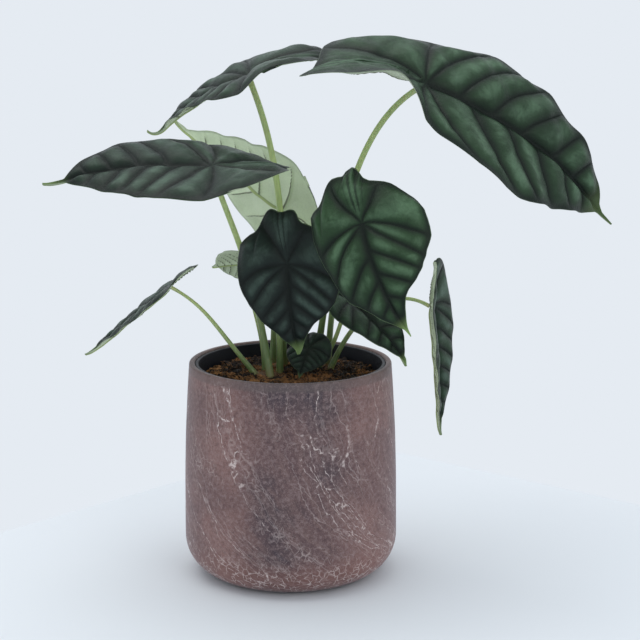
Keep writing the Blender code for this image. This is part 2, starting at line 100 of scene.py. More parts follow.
# Leaf blades, in millimetres and degrees:
#   at, pose  place of the joint; heading, pitch and roll
#   size      length, width, share of the length behind the stalk
#   bend      droop, lift, twist, sweep of the tip, sweep of the lobes
#   front     fold and arch of the left half, fold and arch of the right half
#   rear      the same behind the stalk, if it differs
#   lobe_end  the same at the end of the rear lobes, if it differs
#   outline   taper and fullness of the margin
#   drip      extra bend of the drip tip, up is +
#   sway      how far the rear lobes lean to one side
#   ahead     rows of the front margin instead: distance ahead, half width on the left and right
#   behind    rows of the rear margin instead: place across, distance behind
#   veins     pairs of lateral veins ahead of the stalk
#   slant     how steeply the lateral veins run towards the tip
#   wave      height of the margin's waves
#    finish    tone (0 dark grey-green to 1 fresh green), silver bloom with a painted highlight, warmth of the underside with painted light shining through
LEAVES = {
    "leaf_upper_left": dict(
        at=(-27, 12, 329), pose=(-85, -23, -8), size=(128, 86, 0.41), bend=(24, 28, -6, -13, 0),
        front=(9, 26, 11, 11), rear=(20, 22, 16, 42), outline=(1.6, 1.0), drip=95, veins=5,
        wave=0.9, finish=(0.45, 0.50, 0.5)),
    "leaf_upper_right": dict(
        at=(86, -20, 326), pose=(81, -24, 45), size=(232, 112, 0.29), bend=(40, 17, -26, 2, 27),
        front=(10, 44, 11, -6), rear=(1, 35, 28, -14), lobe_end=(1, 35, 20, -1), drip=20, sway=8,
        veins=6, wave=1.6, finish=(0.80, 0.45, 0.3),
        ahead=((0, 47, 44), (15, 50, 47), (40, 57, 53), (64, 53, 56), (87, 43, 49), (109, 32, 36.5),
               (128, 24, 23.8), (144, 12.7, 12.5), (154, 3.6, 3.6), (161, 1.2, 1.2),
               (173, 0.3, 0.3)),
        behind=((-49.5, 30), (-47, 42), (-41, 52), (-32, 59), (-22, 64), (-12, 68), (-4, 73),
                (3, 79), (10, 85), (17, 89), (24, 87), (32, 77), (39, 63), (44, 47), (47, 32))),
    "leaf_left": dict(
        at=(-48, -55, 278), pose=(-88, 3, -19), size=(155, 99, 0.32), bend=(25, 2, 19, -6, 1),
        front=(8, 13, 3, 28), drip=30, veins=5, wave=0.6, finish=(0.35, 0.45, 0.5)),
    "leaf_back": dict(
        at=(-6, 35, 238), pose=(-66, 35, 49), size=(138, 101, 0.29), bend=(-1, 18, 0, -3, -9),
        front=(12, 7, 10, 28), rear=(7, 8, 23, 28), outline=(1.4, 0.89), drip=15, veins=5, wave=1.0,
        finish=(0.60, 0.40, 1.0)),
    "leaf_front_centre": dict(
        at=(-2, -45, 215), pose=(167, -80, 26), size=(90, 70, 0.35), bend=(33, 0, 14, -4, -20),
        front=(5, 24, 3, 26), drip=35, sway=9, slant=0.70, veins=4, wave=0.6,
        finish=(0.08, 0.40, 0.6),
        ahead=((0, 33, 34.9), (6, 33.5, 34), (12, 33.4, 32.3), (18, 32.4, 29.9), (24, 30.4, 26.7),
               (28, 28.3, 24), (32, 25.1, 21.2), (36, 19.9, 17.8), (40, 14, 13.9), (44, 10, 10),
               (48, 7.1, 6.8), (52, 5.2, 4), (56, 3.4, 1.2), (59, 1.2, 0.3)),
        behind=((-31.2, 8.7), (-27.4, 18.6), (-22.3, 24.7), (-16.2, 27.4), (-10.2, 28.2),
                (-7.1, 28.3), (-4.4, 29.9), (-2.7, 32.4), (0.3, 34.5), (3.3, 34), (6.2, 32),
                (8.4, 30.8), (11.1, 30.5), (13.5, 30.9), (16.4, 30.8), (18.6, 29.8), (20.2, 27.5),
                (21.4, 23), (22.4, 19.7), (24.6, 17.1), (28.4, 15.3), (32.8, 12.2), (34.6, 10.1))),
    "leaf_front_right": dict(
        at=(43, -82, 246), pose=(155, -65, 54), size=(107, 84, 0.30), bend=(29, 24, -1, -17, -20),
        front=(-5, 49, 5, 33), drip=20, sway=8, slant=0.66, veins=4, wave=1.0,
        finish=(1.0, 0.40, 0.9),
        ahead=((0, 40.4, 38.2), (6, 40.9, 36.2), (12, 40.7, 34.5), (19, 39.7, 32.8),
               (26, 36.8, 31.3), (33, 32.7, 28.8), (40, 27.4, 24.3), (45.5, 22, 19.6),
               (49.7, 14.4, 16), (53, 10.6, 13), (59, 7, 8.6), (65.2, 3.5, 4.3), (70, 1.4, 1.1), (75, 0.3, 0.3)),
        behind=((-38.3, 7.8), (-36.5, 14.5), (-33.7, 19.2), (-27.9, 24.2), (-22.1, 28),
                (-18.1, 29.8), (-13.6, 30), (-8.5, 29.3), (-3.7, 28.8), (0.6, 30.4), (3.4, 33.1),
                (6.9, 35.7), (10.1, 36.2), (12.4, 35.3), (13.8, 32.5), (15.4, 30.4), (19.3, 30.2),
                (23.5, 29.3), (26, 27), (27.6, 22.9), (28.8, 18.6), (31, 15.6), (36.3, 13.5),
                (38.8, 11.2))),
    "leaf_low_right": dict(
        at=(40, -20, 186), pose=(116, -35, 17), size=(71, 51, 0.22), bend=(21, 2, -8, 7, 5),
        front=(7, 14, 11, 16), drip=-15, veins=4, wave=0.4, finish=(0.60, 0.15, 0.7)),
    "leaf_low_left": dict(
        at=(-78, -10, 195), pose=(-91, -40, 3), size=(93, 56, 0.24), bend=(-3, 8, 7, -10, -6),
        front=(2, 4, 2, 4), outline=(1.5, 0.82), drip=20, veins=5, wave=0.5,
        finish=(0.40, 0.60, 0.5)),
    "leaf_far_right": dict(
        at=(92, -10, 181), pose=(107, -84, 1), size=(120, 53, 0.27), bend=(4, -21, -5, -4, 2),
        front=(21, 9, 18, 3), rear=(15, 3, 18, 4), outline=(1.6, 0.83), drip=15, veins=6, wave=0.5,
        finish=(0.70, 0.95, 0.5)),
    "leaf_inner_left": dict(
        at=(-27, 0, 208), pose=(-64, -4, 43), size=(38, 33, 0.29), bend=(9, 2, -5, 4, 11),
        front=(1, 10, -2, 20), rear=(-1, 16, -3, 9), outline=(2.2, 0.62), drip=10, veins=4,
        wave=0.3, finish=(0.50, 0.40, 0.5)),
    "leaf_young": dict(
        at=(12, -17, 155), pose=(200, -32, -8), size=(42, 31, 0.37), bend=(0, -4, 14, -6, -14),
        front=(-5, 30, -6, 24), drip=0, veins=4, wave=0.3, finish=(0.15, 0.0, 0.2)),
}

GRID_SPACING_MM = 0.85
DRIP_SHARE = 0.08
DRIP_BEND_START = 0.86
TIP_HALF_WIDTH_MM = 1.68
TIP_POINT_HALF_WIDTH_MM = 0.3
LOBE_POWER = 2.3
LOBE_FULLNESS = 0.60
LOBE_END_START = 0.40
CORNER_SHARE = 0.36
CORNER_WIDTH = 0.93
CLEFT_WIDTH = 0.20
CLEFT_DEPTH = 0.08
MARGIN_SOFTENING_MM = 0.8
SCALLOP = 0.008
HEM_WIDTH_MM = 0.7
THIN_EDGE_MM = 0.9
REAR_OVERRUN, FRONT_OVERRUN = 1.4, 1.06
REAR_BLEND_START = 0.06
REAR_BLEND_SPAN = 0.22
WELD_DISTANCE = 2e-6
TIP_START, TIP_SPAN = 0.82, 0.16
# Shares of the blade's width: its flat edge, the widest pad, a pleat, the dark core, the dark rim.
FADE_SHARE, PAD_SHARE, PLEAT_SHARE, CORE_SHARE, RIM_SHARE = 0.10, 0.24, 0.062, 0.20, 0.022

# Lateral veins: each leaves the midrib at a share of the front length and curves on to the margin.
# Behind the stalk they fan out from its joint at these angles, in degrees.
VEIN_CURVE = 0.44
VEIN_REAR = (0.0, 34.0, 69.0, 111.0)
VEIN_OFFSET = 0.035
VEIN_DRIFT = 0.16

# Stalks, in millimetres: foot x, y; the two handles of the curve; foot radius and top radius.
STALKS = {
    "leaf_upper_left": ((-4, 9), (-8, 2, 175), (5, -12, 255), 2.2, 1.9),
    "leaf_upper_right": ((17, 16), (31, 12, 235), (42, -8, 302), 2.3, 1.8),
    "leaf_left": ((-13, -21), (-25, 2, 214), (-37, -26, 232), 2.2, 1.7),
    "leaf_back": ((-12, 17), (-10, 19, 180), (-10, 24, 216), 2.1, 1.7),
    "leaf_front_centre": ((-7, -12), (-6, -14, 170), (-12, -18, 202), 2.1, 1.6),
    "leaf_front_right": ((25, 9), (28, 18, 212), (43, -36, 252), 2.0, 1.6),
    "leaf_low_right": ((17, 2), (34, -2, 158), (30, -13, 172), 1.6, 1.3),
    "leaf_low_left": ((-22, -14), (-49, -13, 168), (-53, -11, 181), 1.7, 1.0),
    "leaf_far_right": ((26, 0), (42, 2, 176), (68, -6, 195), 1.7, 1.0),
    "leaf_inner_left": ((-17, -6), (-17, -5, 167), (-30, -2, 190), 1.5, 1.2),
    "leaf_young": ((9, 6), (9, 4, 146), (12, -6, 147), 1.4, 1.2),
}
STALK_POINTS = 56
STALK_FOOT_DEPTH = 2.0 * MM
STALK_TOP_GAP = 0.7 * MM
STALK_FLARE_RADIUS = 3.0 * MM
STALK_NECK = 9 * MM
STALK_RIDGES = 6
STALK_RIDGE_HEIGHT = 0.1 * MM

# Stage: each lamp has its setting, size, place and the point it is aimed at.
CAMERA_PLACE = (0.0001, -1.0951, 0.3937)
CAMERA_TURN = (78.46, 0.0, -1.018)
CAMERA_LENS_MM, CAMERA_SENSOR_MM = 95.6, 36.0
FLOOR_CORNER = (0.034, 0.325)
FLOOR_SIDES = ((-0.695, -0.719), (0.763, -0.646))
FLOOR_REACH = 4.0
LAMPS = {"overhead_light": ("key", 1.1, (-0.25, 0.05, 1.35), (0.0, 0.0, 0.2)),
         "front_light": ("fill", 0.9, (0.75, -1.2, 0.9), (0.0, 0.0, 0.2))}


def tone(red, green, blue):
    """A colour given by its display values from 0 to 255, as the linear values that shaders use."""
    shares = (value / 255.0 for value in (red, green, blue))
    return tuple(s / 12.92 if s <= 0.04045 else ((s + 0.055) / 1.055) ** 2.4 for s in shares)


def color_setting(name, description, value):
    """A colour picker property."""
    return FloatVectorProperty(name=name, description=description, default=tone(*value),
                               subtype="COLOR", size=3, min=0.0, max=1.0)


def number_setting(name, description, value, most, unit="LENGTH"):
    """A number property with a unit."""
    return FloatProperty(name=name, description=description, default=value, min=0.0, max=most,
                         unit=unit)


def count_setting(name, description, value, least, most):
    """A whole number property."""
    return IntProperty(name=name, description=description, default=value, min=least, max=most)


class PlanterSettings(bpy.types.PropertyGroup):
    """Colours and texture of the planter and the liner."""
    # Clay is the glaze's warm colour and also carries the painted light on the planter's sides. Ash is its cool
    # colour and also carries the painted dark reflection across its front.
    clay_and_side_light: color_setting("Clay", "Warm colour of the glaze", (131, 99, 95))
    ash_and_front_shade: color_setting("Ash", "Cool colour of the glaze", (62, 54, 62))
    crackle: color_setting("Crackle", "Colour of the crackle lines", (222, 208, 204))
    crackle_width: number_setting("Crackle width", "Width of the crackle lines", 0.36 * MM, 3 * MM)
    liner: color_setting("Liner", "Colour of the nursery pot", (13, 15, 24))
    segments: count_setting("Segments", "Faces round the turned pieces", 144, 24, 256)


class LeafSettings(bpy.types.PropertyGroup):
    """Relief and colours of the leaf blades."""
    quilt: number_setting("Quilting", "Height of a pad as a share of its width", 0.12, 0.3, "NONE")
    vein_depth: number_setting("Vein depth", "How deep a vein is sunk", 0.5 * MM, 3 * MM)
    rib_height: number_setting("Rib height", "How far the ribs stand out below", 0.9 * MM, 4 * MM)
    thickness: number_setting("Thickness", "Thickness of a blade", 0.7 * MM, 3 * MM)
    fresh: color_setting("Fresh pad", "Pad colour of a fresh green leaf", (42, 66, 42))
    aged: color_setting("Dark pad", "Pad colour of a dark leaf", (30, 40, 38))
    vein: color_setting("Vein", "Colour of the sunken veins", (12, 20, 16))
    # Bloom: the leaf's real silvery bloom, also used for the painted highlight on the pad crests.
    bloom: color_setting("Bloom", "Silvery bloom on the pads", (86, 106, 96))
    margin: color_setting("Margin", "Colour of the margin", (20, 32, 26))
    tip: color_setting("Tip", "Colour of the drip tip", (132, 158, 96))
    under: color_setting("Underside", "Colour of the underside", (178, 188, 166))
    # Fresh underside: the pale underside of a fresh leaf, brightened with painted light shining through it.
    under_fresh_with_light_through: color_setting("Fresh underside", "Underside of a fresh leaf", (212, 226, 192))


class StalkSettings(bpy.types.PropertyGroup):
    """Shape and colours of the leaf stalks."""
    flare: number_setting("Flare", "How much wider a stalk is at its foot", 0.6 * MM, 6 * MM)
    sides: count_setting("Sides", "Faces round a stalk", 20, 6, 48)
    green: color_setting("Green", "Colour of the upper stalk", (168, 186, 122))
    deep: color_setting("Deep green", "Colour of the streaks and the foot", (88, 108, 62))
    pale: color_setting("Pale", "Colour just under the blade", (196, 206, 150))


class SoilSettings(bpy.types.PropertyGroup):
    """Amount and colours of the soil's crumbs and fibres."""
    crumbs: count_setting("Crumbs", "Number of loose crumbs", 2200, 0, 8000)
    fibres: count_setting("Fibres", "Number of coir fibres", 420, 0, 2000)
    chips: count_setting("Bark chips", "Number of bark chips", 150, 0, 600)
    dark: color_setting("Damp", "Colour of the damp crumbs", (30, 22, 19))
    light: color_setting("Coir", "Colour of the dry coir", (140, 98, 60))


class StageSettings(bpy.types.PropertyGroup):
    """Light and floor."""
    floor: color_setting("Floor", "Colour of the floor", (222, 226, 230))
    air: color_setting("Air", "Colour of the surroundings", (229, 235, 242))
    key: number_setting("Key light", "Power of the overhead soft light", 7.0, 100.0, "POWER")
    fill: number_setting("Fill light", "Power of the front soft light", 3.0, 100.0, "POWER")


class Value:
    """The output of a node, which can take part in arithmetic."""

    def __init__(self, graph, socket):
        self.graph, self.socket = graph, socket

    def step(operation):
        """A method that adds one arithmetic step to the graph."""
        return lambda self, other: self.graph.math(operation, self, other)

    __add__, __sub__, __mul__ = step("ADD"), step("SUBTRACT"), step("MULTIPLY")
    __truediv__, __pow__, most = step("DIVIDE"), step("POWER"), step("MAXIMUM")


class Graph:
    """Adds and joins nodes in one node tree."""

    def __init__(self, tree):
        self.tree = tree

    def node(self, kind, inputs=None, **settings):
        """A new node with its settings and inputs; an input may be a value from another node."""
        node = self.tree.nodes.new(kind)
        for key, value in settings.items():
            setattr(node, key, value)
        for key, value in (inputs or {}).items():
            self.feed(node.inputs[key], value)
        return node

    def feed(self, socket, value):
        """Link or set one input."""
        if isinstance(value, Value):
            self.tree.links.new(value.socket, socket)
        else:
            socket.default_value = value

    def get(self, kind, inputs=None, out=0, **settings):
        """One output of a new node."""
        return Value(self, self.node(kind, inputs, **settings).outputs[out])

    def math(self, operation, a, b=0.0, clamp=False):
        """One arithmetic step."""
        return self.get("ShaderNodeMath", {0: a, 1: b}, operation=operation, use_clamp=clamp)

    def vector(self, operation, a, b):
        """One vector step."""
        return self.get("ShaderNodeVectorMath", {0: a, 1: b}, operation=operation)

    def scaled(self, a, factor):
        """A vector times a number."""
        return self.get("ShaderNodeVectorMath", {0: a, "Scale": factor}, operation="SCALE")

    def drift(self, place, scale, detail, reach, centre=(0.5, 0.5, 0.5)):
        """A noisy push of about this reach, measured from a centre."""
        noise = self.get("ShaderNodeTexNoise", {
            "Vector": place, "Scale": scale, "Detail": detail}, "Color")
        return self.scaled(self.vector("SUBTRACT", noise, centre), reach)


class Paint(Graph):
    """A material's graph, with its shader and the place that is shaded."""

    def __init__(self, name, **constants):
        self.material = bpy.data.materials.new(name)
        self.material.use_nodes = True
        super().__init__(self.material.node_tree)
        self.shader = self.tree.nodes["Principled BSDF"]
        for key, value in constants.items():
            self.shader.inputs[key.replace("_", " ")].default_value = value
        self.place = self.get("ShaderNodeTexCoord", out="Object")

    def span(self, value, low, high, to_low=0.0, to_high=1.0, kind="SMOOTHSTEP"):
        """Map a range of values to another, with soft ends."""
        return self.get("ShaderNodeMapRange", {0: value, 1: low, 2: high, 3: to_low, 4: to_high},
                        interpolation_type=kind)

    def mix(self, share, a, b):
        """Mix two colours."""
        a, b = (c if isinstance(c, Value) else (*c, 1.0) for c in (a, b))
        return self.get("ShaderNodeMix", {0: share, 6: a, 7: b}, 2, data_type="RGBA")

    def layers(self, color, *rows):
        """Lay colours over a colour, one after the other: each row is a share and a colour."""
        for share, layer in rows:
            color = self.mix(share, color, layer)
        return color

    def noise(self, place, scale, detail=3.0, rough=0.55, distort=0.0):
        """Noise value from 0 to 1."""
        return self.get("ShaderNodeTexNoise", {"Vector": place, "Scale": scale, "Detail": detail,
                                               "Roughness": rough, "Distortion": distort})

    def edges(self, place, scale):
        """Distance to the nearest edge in a cell pattern."""
        return self.get("ShaderNodeTexVoronoi", {"Vector": place, "Scale": scale}, "Distance",
                        feature="DISTANCE_TO_EDGE")

    def squashed(self, place, height):
        """A place with its height scaled, to draw a pattern out along Z."""
        return self.vector("MULTIPLY", place, (1.0, 1.0, height))

    def attribute(self, name):
        """A number stored on the mesh."""
        return self.get("ShaderNodeAttribute", out="Fac", attribute_name=name)

    def finish(self, color, rough, height, distance, strength):
        """Join colour, roughness and bump to the shader, and return the material."""
        bump = self.get("ShaderNodeBump", {"Height": height, "Distance": distance,
                                           "Strength": strength})
        for key, value in (("Base Color", color), ("Roughness", rough), ("Normal", bump)):
            self.feed(self.shader.inputs[key], value)
        return self.material


class Tree(Graph):
    """A geometry node tree with named inputs."""

    def __init__(self, name, **inputs):
        super().__init__(bpy.data.node_groups.new(name, "GeometryNodeTree"))
        sockets = self.tree.interface
        sockets.new_socket("Geometry", in_out="INPUT", socket_type="NodeSocketGeometry")
        for label, value in inputs.items():
            kind = "NodeSocketInt" if isinstance(value, int) else "NodeSocketFloat"
            sockets.new_socket(label, in_out="INPUT", socket_type=kind).default_value = value
        sockets.new_socket("Geometry", in_out="OUTPUT", socket_type="NodeSocketGeometry")
        entry = self.node("NodeGroupInput")
        self.given = {socket.name: Value(self, socket) for socket in entry.outputs if socket.name}
        self.surface = self.given["Geometry"]

    def make(self, kind, inputs=None, out=0, **settings):
        """One output of a new geometry node."""
        return self.get("GeometryNode" + kind, inputs, out, **settings)

    def random(self, low, high, seed):
        """A random number or vector for each point or copy."""
        if isinstance(low, tuple):
            return self.get("FunctionNodeRandomValue", {0: low, 1: high, "Seed": seed},
                            data_type="FLOAT_VECTOR")
        return self.get("FunctionNodeRandomValue", {2: low, 3: high, "Seed": seed}, 1,
                        data_type="FLOAT")

    def stored(self, name):
        """A number stored on the mesh."""
        return self.make("InputNamedAttribute", {"Name": name}, data_type="FLOAT")

    def store(self, geometry, name, value):
        """Store a number on every point."""
        return self.make("StoreNamedAttribute", {
            "Geometry": geometry, "Name": name, "Value": value}, data_type="FLOAT", domain="POINT")

    def moved(self, geometry, offset):
        """Geometry with its points moved."""
        return self.make("SetPosition", {"Geometry": geometry, "Offset": offset})

    def finish(self, geometry, material, smooth=True):
        """End the tree in a real mesh with its material."""
        shaded = self.make("SetShadeSmooth", {"Geometry": geometry, "Shade Smooth": smooth})
        real = self.make("RealizeInstances", {0: shaded})
        painted = self.make("SetMaterial", {"Geometry": real, "Material": material})
        self.node("NodeGroupOutput", {0: painted})
        return self.tree


def grow(name, source, tree, material):
    """Run a node tree on an object and keep its result as a plain mesh object in its place."""
    modifier = source.modifiers.new(tree.name, "NODES")
    modifier.node_group = tree
    bpy.context.view_layer.update()
    evaluated = source.evaluated_get(bpy.context.evaluated_depsgraph_get())
    mesh = bpy.data.meshes.new_from_object(evaluated)
    source.modifiers.remove(modifier)
    bpy.data.objects.remove(source)
    if not mesh.polygons:
        raise RuntimeError(name + " came out empty")
    mesh.name = name
    if not mesh.materials:
        mesh.materials.append(material)
    return placed(name, mesh)


def placed(name, data):
    """A new object in the scene."""
    obj = bpy.data.objects.new(name, data)
    bpy.context.scene.collection.objects.link(obj)
    return obj


def mesh_object(name, points, faces, material=None):
    """A smooth mesh object from lists of points and faces."""
    mesh = bpy.data.meshes.new(name)
    mesh.from_pydata([tuple(p) for p in points], [], [tuple(f) for f in faces])
    mesh.polygons.foreach_set("use_smooth", [True] * len(mesh.polygons))
    if material:
        mesh.materials.append(material)
    return placed(name, mesh)


def settle(obj, slot, *nodes):
    """Put a finished piece on the body, in place of its CAD nodes; the slot is not used."""
    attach(obj, BODY)
    if nodes:
        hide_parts(*nodes)


def smooth_step(value):
    """Ease between 0 and 1."""
    value = np.clip(value, 0.0, 1.0)
    return value * value * (3.0 - 2.0 * value)


def smooth_max(a, b, radius):
    """The larger of two values, with a rounded change between them."""
    return 0.5 * (a + b + np.sqrt((a - b) ** 2 + radius * radius))


def bell(value):
    """1 at zero, falling smoothly to 0 on both sides."""
    return np.exp(-value ** 2)


def ripple(*places, seed=0):
    """A repeatable low bump from a few sines, about -1 to 1."""
    total = 0.0
    for step in range(1, 4):
        phase = seed * 1.7 + step * 2.1
        wave = 1.0
        for k, place in enumerate(places):
            wave = wave * np.sin(place * step * (1.0 + 0.23 * k) + phase * (k + 1))
        total = total + wave / step
    return total / 1.4


# ---------------------------------------------------------------- planter, liner, soil, corms

def arc(centre_r, centre_z, radius_r, radius_z, start, end, count):
    """Points on a quarter ellipse, angles in degrees from the +r direction."""
    angles = np.radians(np.linspace(start, end, count + 1))
    return [(centre_r + radius_r * math.cos(a), centre_z + radius_z * math.sin(a)) for a in angles]


def between(start, end, count):
    """Evenly spaced values after the start, up to the end."""
    return [start + (end - start) * (i + 1) / count for i in range(count)]


def pot_radius(z):
    """Outside radius of the planter above its rounded corner."""
    share = max((z - POT_CORNER_HEIGHT) / (POT_HEIGHT - POT_CORNER_HEIGHT), 0.0)
    return POT_BELLY_RADIUS + (POT_RIM_RADIUS - POT_BELLY_RADIUS) * share ** POT_TAPER_POWER


def nursery_radius(z):
    """Outside radius of the tapered liner."""
    share = (z - NURSERY_BASE_Z) / (NURSERY_TOP_Z - NURSERY_BASE_Z)
    return NURSERY_BASE_RADIUS + (NURSERY_TOP_RADIUS - NURSERY_BASE_RADIUS) * share


def soil_radius(z):
    """Radius of the soil inside the liner."""
    return nursery_radius(z) - NURSERY_WALL - CLEARANCE


def soil_height(radius):
    """Height of the mounded soil surface."""
    share = radius / (NURSERY_TOP_RADIUS - NURSERY_WALL)
    return SOIL_EDGE_Z + SOIL_CROWN_RISE * (1.0 - share * share)


def turned(name, profile, segments, material, wobble=None, centre=(0.0, 0.0)):
    """A closed turned solid from a half section that starts and ends on the axis."""
    rings = np.array(profile[1:-1])
    turn = np.tile(np.linspace(0.0, FULL_TURN, segments, endpoint=False), (len(rings), 1))
    radius, height = (np.repeat(rings[:, k:k + 1], segments, axis=1) for k in (0, 1))
    if wobble:
        radius, height = wobble(radius, height, turn)
    x, y = radius * np.cos(turn) + centre[0], radius * np.sin(turn) + centre[1]
    points = list(np.stack([x, y, height], -1).reshape(-1, 3))
    low, high = len(points), len(points) + 1
    points += [(*centre, profile[0][1]), (*centre, profile[-1][1])]
    around = [(k, (k + 1) % segments) for k in range(segments)]
    last = low - segments
    faces = [(i + k, i + n, i + segments + n, i + segments + k)
             for i in range(0, last, segments) for k, n in around]
    for k, n in around:
        faces += [(low, n, k), (high, last + k, last + n)]
    return mesh_object(name, points, faces, material)


def planter_profile():
    """Half section of the planter, from the middle of its foot round to the middle of its floor."""
    corner, round_off = POT_BELLY_RADIUS - POT_FOOT_RADIUS, (POT_RIM_ROUND, POT_RIM_ROUND)
    profile = [(POT_FOOT_RADIUS * s, 0.0) for s in (0.0, 0.3, 0.6, 0.9)]
    profile += arc(POT_FOOT_RADIUS, POT_CORNER_HEIGHT, corner, POT_CORNER_HEIGHT, -90, 0, 18)
    rim_low = POT_HEIGHT - POT_RIM_ROUND
    profile += [(pot_radius(z), z) for z in between(POT_CORNER_HEIGHT, rim_low, 30)[:-1]]
    outer = pot_radius(rim_low)
    profile += arc(outer - POT_RIM_ROUND, rim_low, *round_off, 0, 90, 6)
    profile += arc(outer - POT_WALL + POT_RIM_ROUND, rim_low, *round_off, 90, 180, 6)
    inner_low = POT_FLOOR + POT_INNER_CORNER
    profile += [(pot_radius(z) - POT_WALL, z) for z in between(rim_low, inner_low, 16)]
    flat = profile[-1][0] - POT_INNER_CORNER
    profile += arc(flat, inner_low, POT_INNER_CORNER, POT_INNER_CORNER, 0, -90, 8)[1:]
    return profile + [(flat * s, POT_FLOOR) for s in (0.6, 0.3, 0.0)]


def glaze_material(settings):
    """Matte frosted glaze with slanting crackle lines that gather towards the foot, with a painted dark
    reflection across the front and painted light on the sides.
    """
    paint = Paint("frosted_crackle_glaze", Specular_IOR_Level=0.22, Sheen_Weight=0.20,
                  Sheen_Roughness=0.35, Sheen_Tint=(*tone(210, 218, 232), 1.0))
    span, noise, place = paint.span, paint.noise, paint.place
    side, height = (paint.get("ShaderNodeSeparateXYZ", {0: place}, axis) for axis in "XZ")
    low = paint.math("SUBTRACT", 1.0, height / POT_HEIGHT, clamp=True)
    lean = low * -0.40 + low ** 3.4 * -1.15
    shifted = paint.vector("ADD", place, paint.drift(place, 34.0, 3.0, 14 * MM))
    shifted = paint.vector("ADD", shifted, paint.drift(place, 210.0, 3.0, 3.4 * MM))
    leaned = paint.get("ShaderNodeVectorRotate", {"Vector": shifted, "Angle": lean},
                       rotation_type="Z_AXIS")
    stretched = paint.squashed(leaned, 0.20)

    def lines(source, squash, scale, width, patches, low, high):
        """Broken lines along the edges of stretched cells, where a patch mask lets them through."""
        edges = paint.edges(paint.squashed(source, squash), scale)
        edge = span(edges, width * scale, 0.1 * width * scale)
        return edge * span(noise(stretched, patches), low, high)

    width = settings.crackle_width
    foot = span(height, 36 * MM, 8 * MM)
    band = span(height, POT_HEIGHT - 7 * MM, POT_HEIGHT - 4 * MM)
    net = (lines(shifted, 0.75, 250.0, 0.34 * MM, 90.0, 0.30, 0.46)
           * span(noise(place, 190.0, 2.0), 0.40, 0.56)
           * (foot * 0.95).most(span(noise(leaned, 30.0), 0.56, 0.70) * 0.40))
    crack = lines(leaned, 0.18, 54.0, width, 34.0, 0.49, 0.62)
    crack = crack.most(lines(leaned, 0.30, 112.0, 0.8 * width, 46.0, 0.50, 0.64) * 0.8)
    crack = crack * span(noise(place, 460.0, 2.0), 0.43, 0.57, 0.12, 1.0)
    crack = crack.most(lines(leaned, 0.12, 190.0, 0.30 * MM, 60.0, 0.42, 0.66) * 0.30).most(net)
    crack = crack * span(band, 0.0, 1.0, 1.0, 0.15)
    cloud = span(noise(place, 19.0, 4.0), 0.38, 0.62)
    streak = noise(paint.squashed(leaned, 0.14), 190.0)
    mottle = noise(place, 420.0, 3.0, 0.6)
    speckle = noise(place, 1500.0, 2.0)
    # Across the front the glaze is painted darker, a painted dark reflection, and towards the sides it is
    # painted lighter with grazing light. The cloud mixes in the glaze's real uneven tone.
    around = span(paint.math("ABSOLUTE", side - 4 * MM), 14 * MM, 50 * MM)
    color = paint.layers(
        paint.mix(cloud * 0.38 + around * 0.62, settings.ash_and_front_shade, settings.clay_and_side_light),
        (span(streak, 0.3, 0.7, 0.0, 0.30), tone(134, 108, 102)),
        (span(mottle, 0.48, 0.68, 0.0, 0.42), tone(146, 128, 128)),
        (span(mottle, 0.48, 0.32, 0.0, 0.38), tone(66, 54, 58)),
        (span(speckle, 0.52, 0.72, 0.0, 0.30), tone(168, 150, 148)),
        (span(speckle, 0.44, 0.28, 0.0, 0.35), tone(56, 44, 44)),
        (span(foot, 0.0, 1.0, 0.0, 0.42), tone(142, 98, 88)),
        (span(band, 0.0, 1.0, 0.0, 0.45), tone(96, 88, 86)),
        (crack * 0.74, settings.crackle))
    rough = span(speckle, 0.2, 0.8, 0.46, 0.68, "LINEAR")
    return paint.finish(color, rough, speckle * 0.5 + crack * 0.6, 0.25 * MM, 0.7)


def liner_material(settings):
    """Black moulded plastic with a faint grain and dust."""
    paint = Paint("moulded_liner_plastic", Specular_IOR_Level=0.25)
    grain = paint.noise(paint.place, 900.0)
    dust = paint.span(paint.noise(paint.place, 60.0, 4.0), 0.5, 0.75, 0.0, 0.15)
    color = paint.mix(dust, settings.liner, tone(52, 48, 48))
    return paint.finish(color, paint.span(grain, 0.3, 0.7, 0.38, 0.58), grain, 0.12 * MM, 0.5)


def drain_tree(material):
    """Punches a ring of round holes through a liner's base."""
    tree = Tree("drain_holes", Holes=DRAIN_HOLES, Hole_radius=DRAIN_HOLE_RADIUS,
                Ring_radius=DRAIN_RING_RADIUS, Base_height=NURSERY_BASE_Z)
    drill = tree.make("MeshCylinder", {
        "Vertices": 24, "Radius": tree.given["Hole_radius"], "Depth": 8 * NURSERY_WALL})
    ring = tree.make("MeshCircle", {
        "Vertices": tree.given["Holes"], "Radius": tree.given["Ring_radius"]})
    ring = tree.make("Transform", {
        "Geometry": ring, "Rotation": (0.0, 0.0, math.pi / DRAIN_HOLES),
        "Translation": tree.get("ShaderNodeCombineXYZ", {2: tree.given["Base_height"]})})
    drills = tree.make("InstanceOnPoints", {"Points": ring, "Instance": drill})
    drills = tree.make("RealizeInstances", {0: drills})
    cut = tree.make("MeshBoolean", {"Mesh 1": tree.surface, "Mesh 2": drills},
                    operation="DIFFERENCE")
    return tree.finish(cut, material)


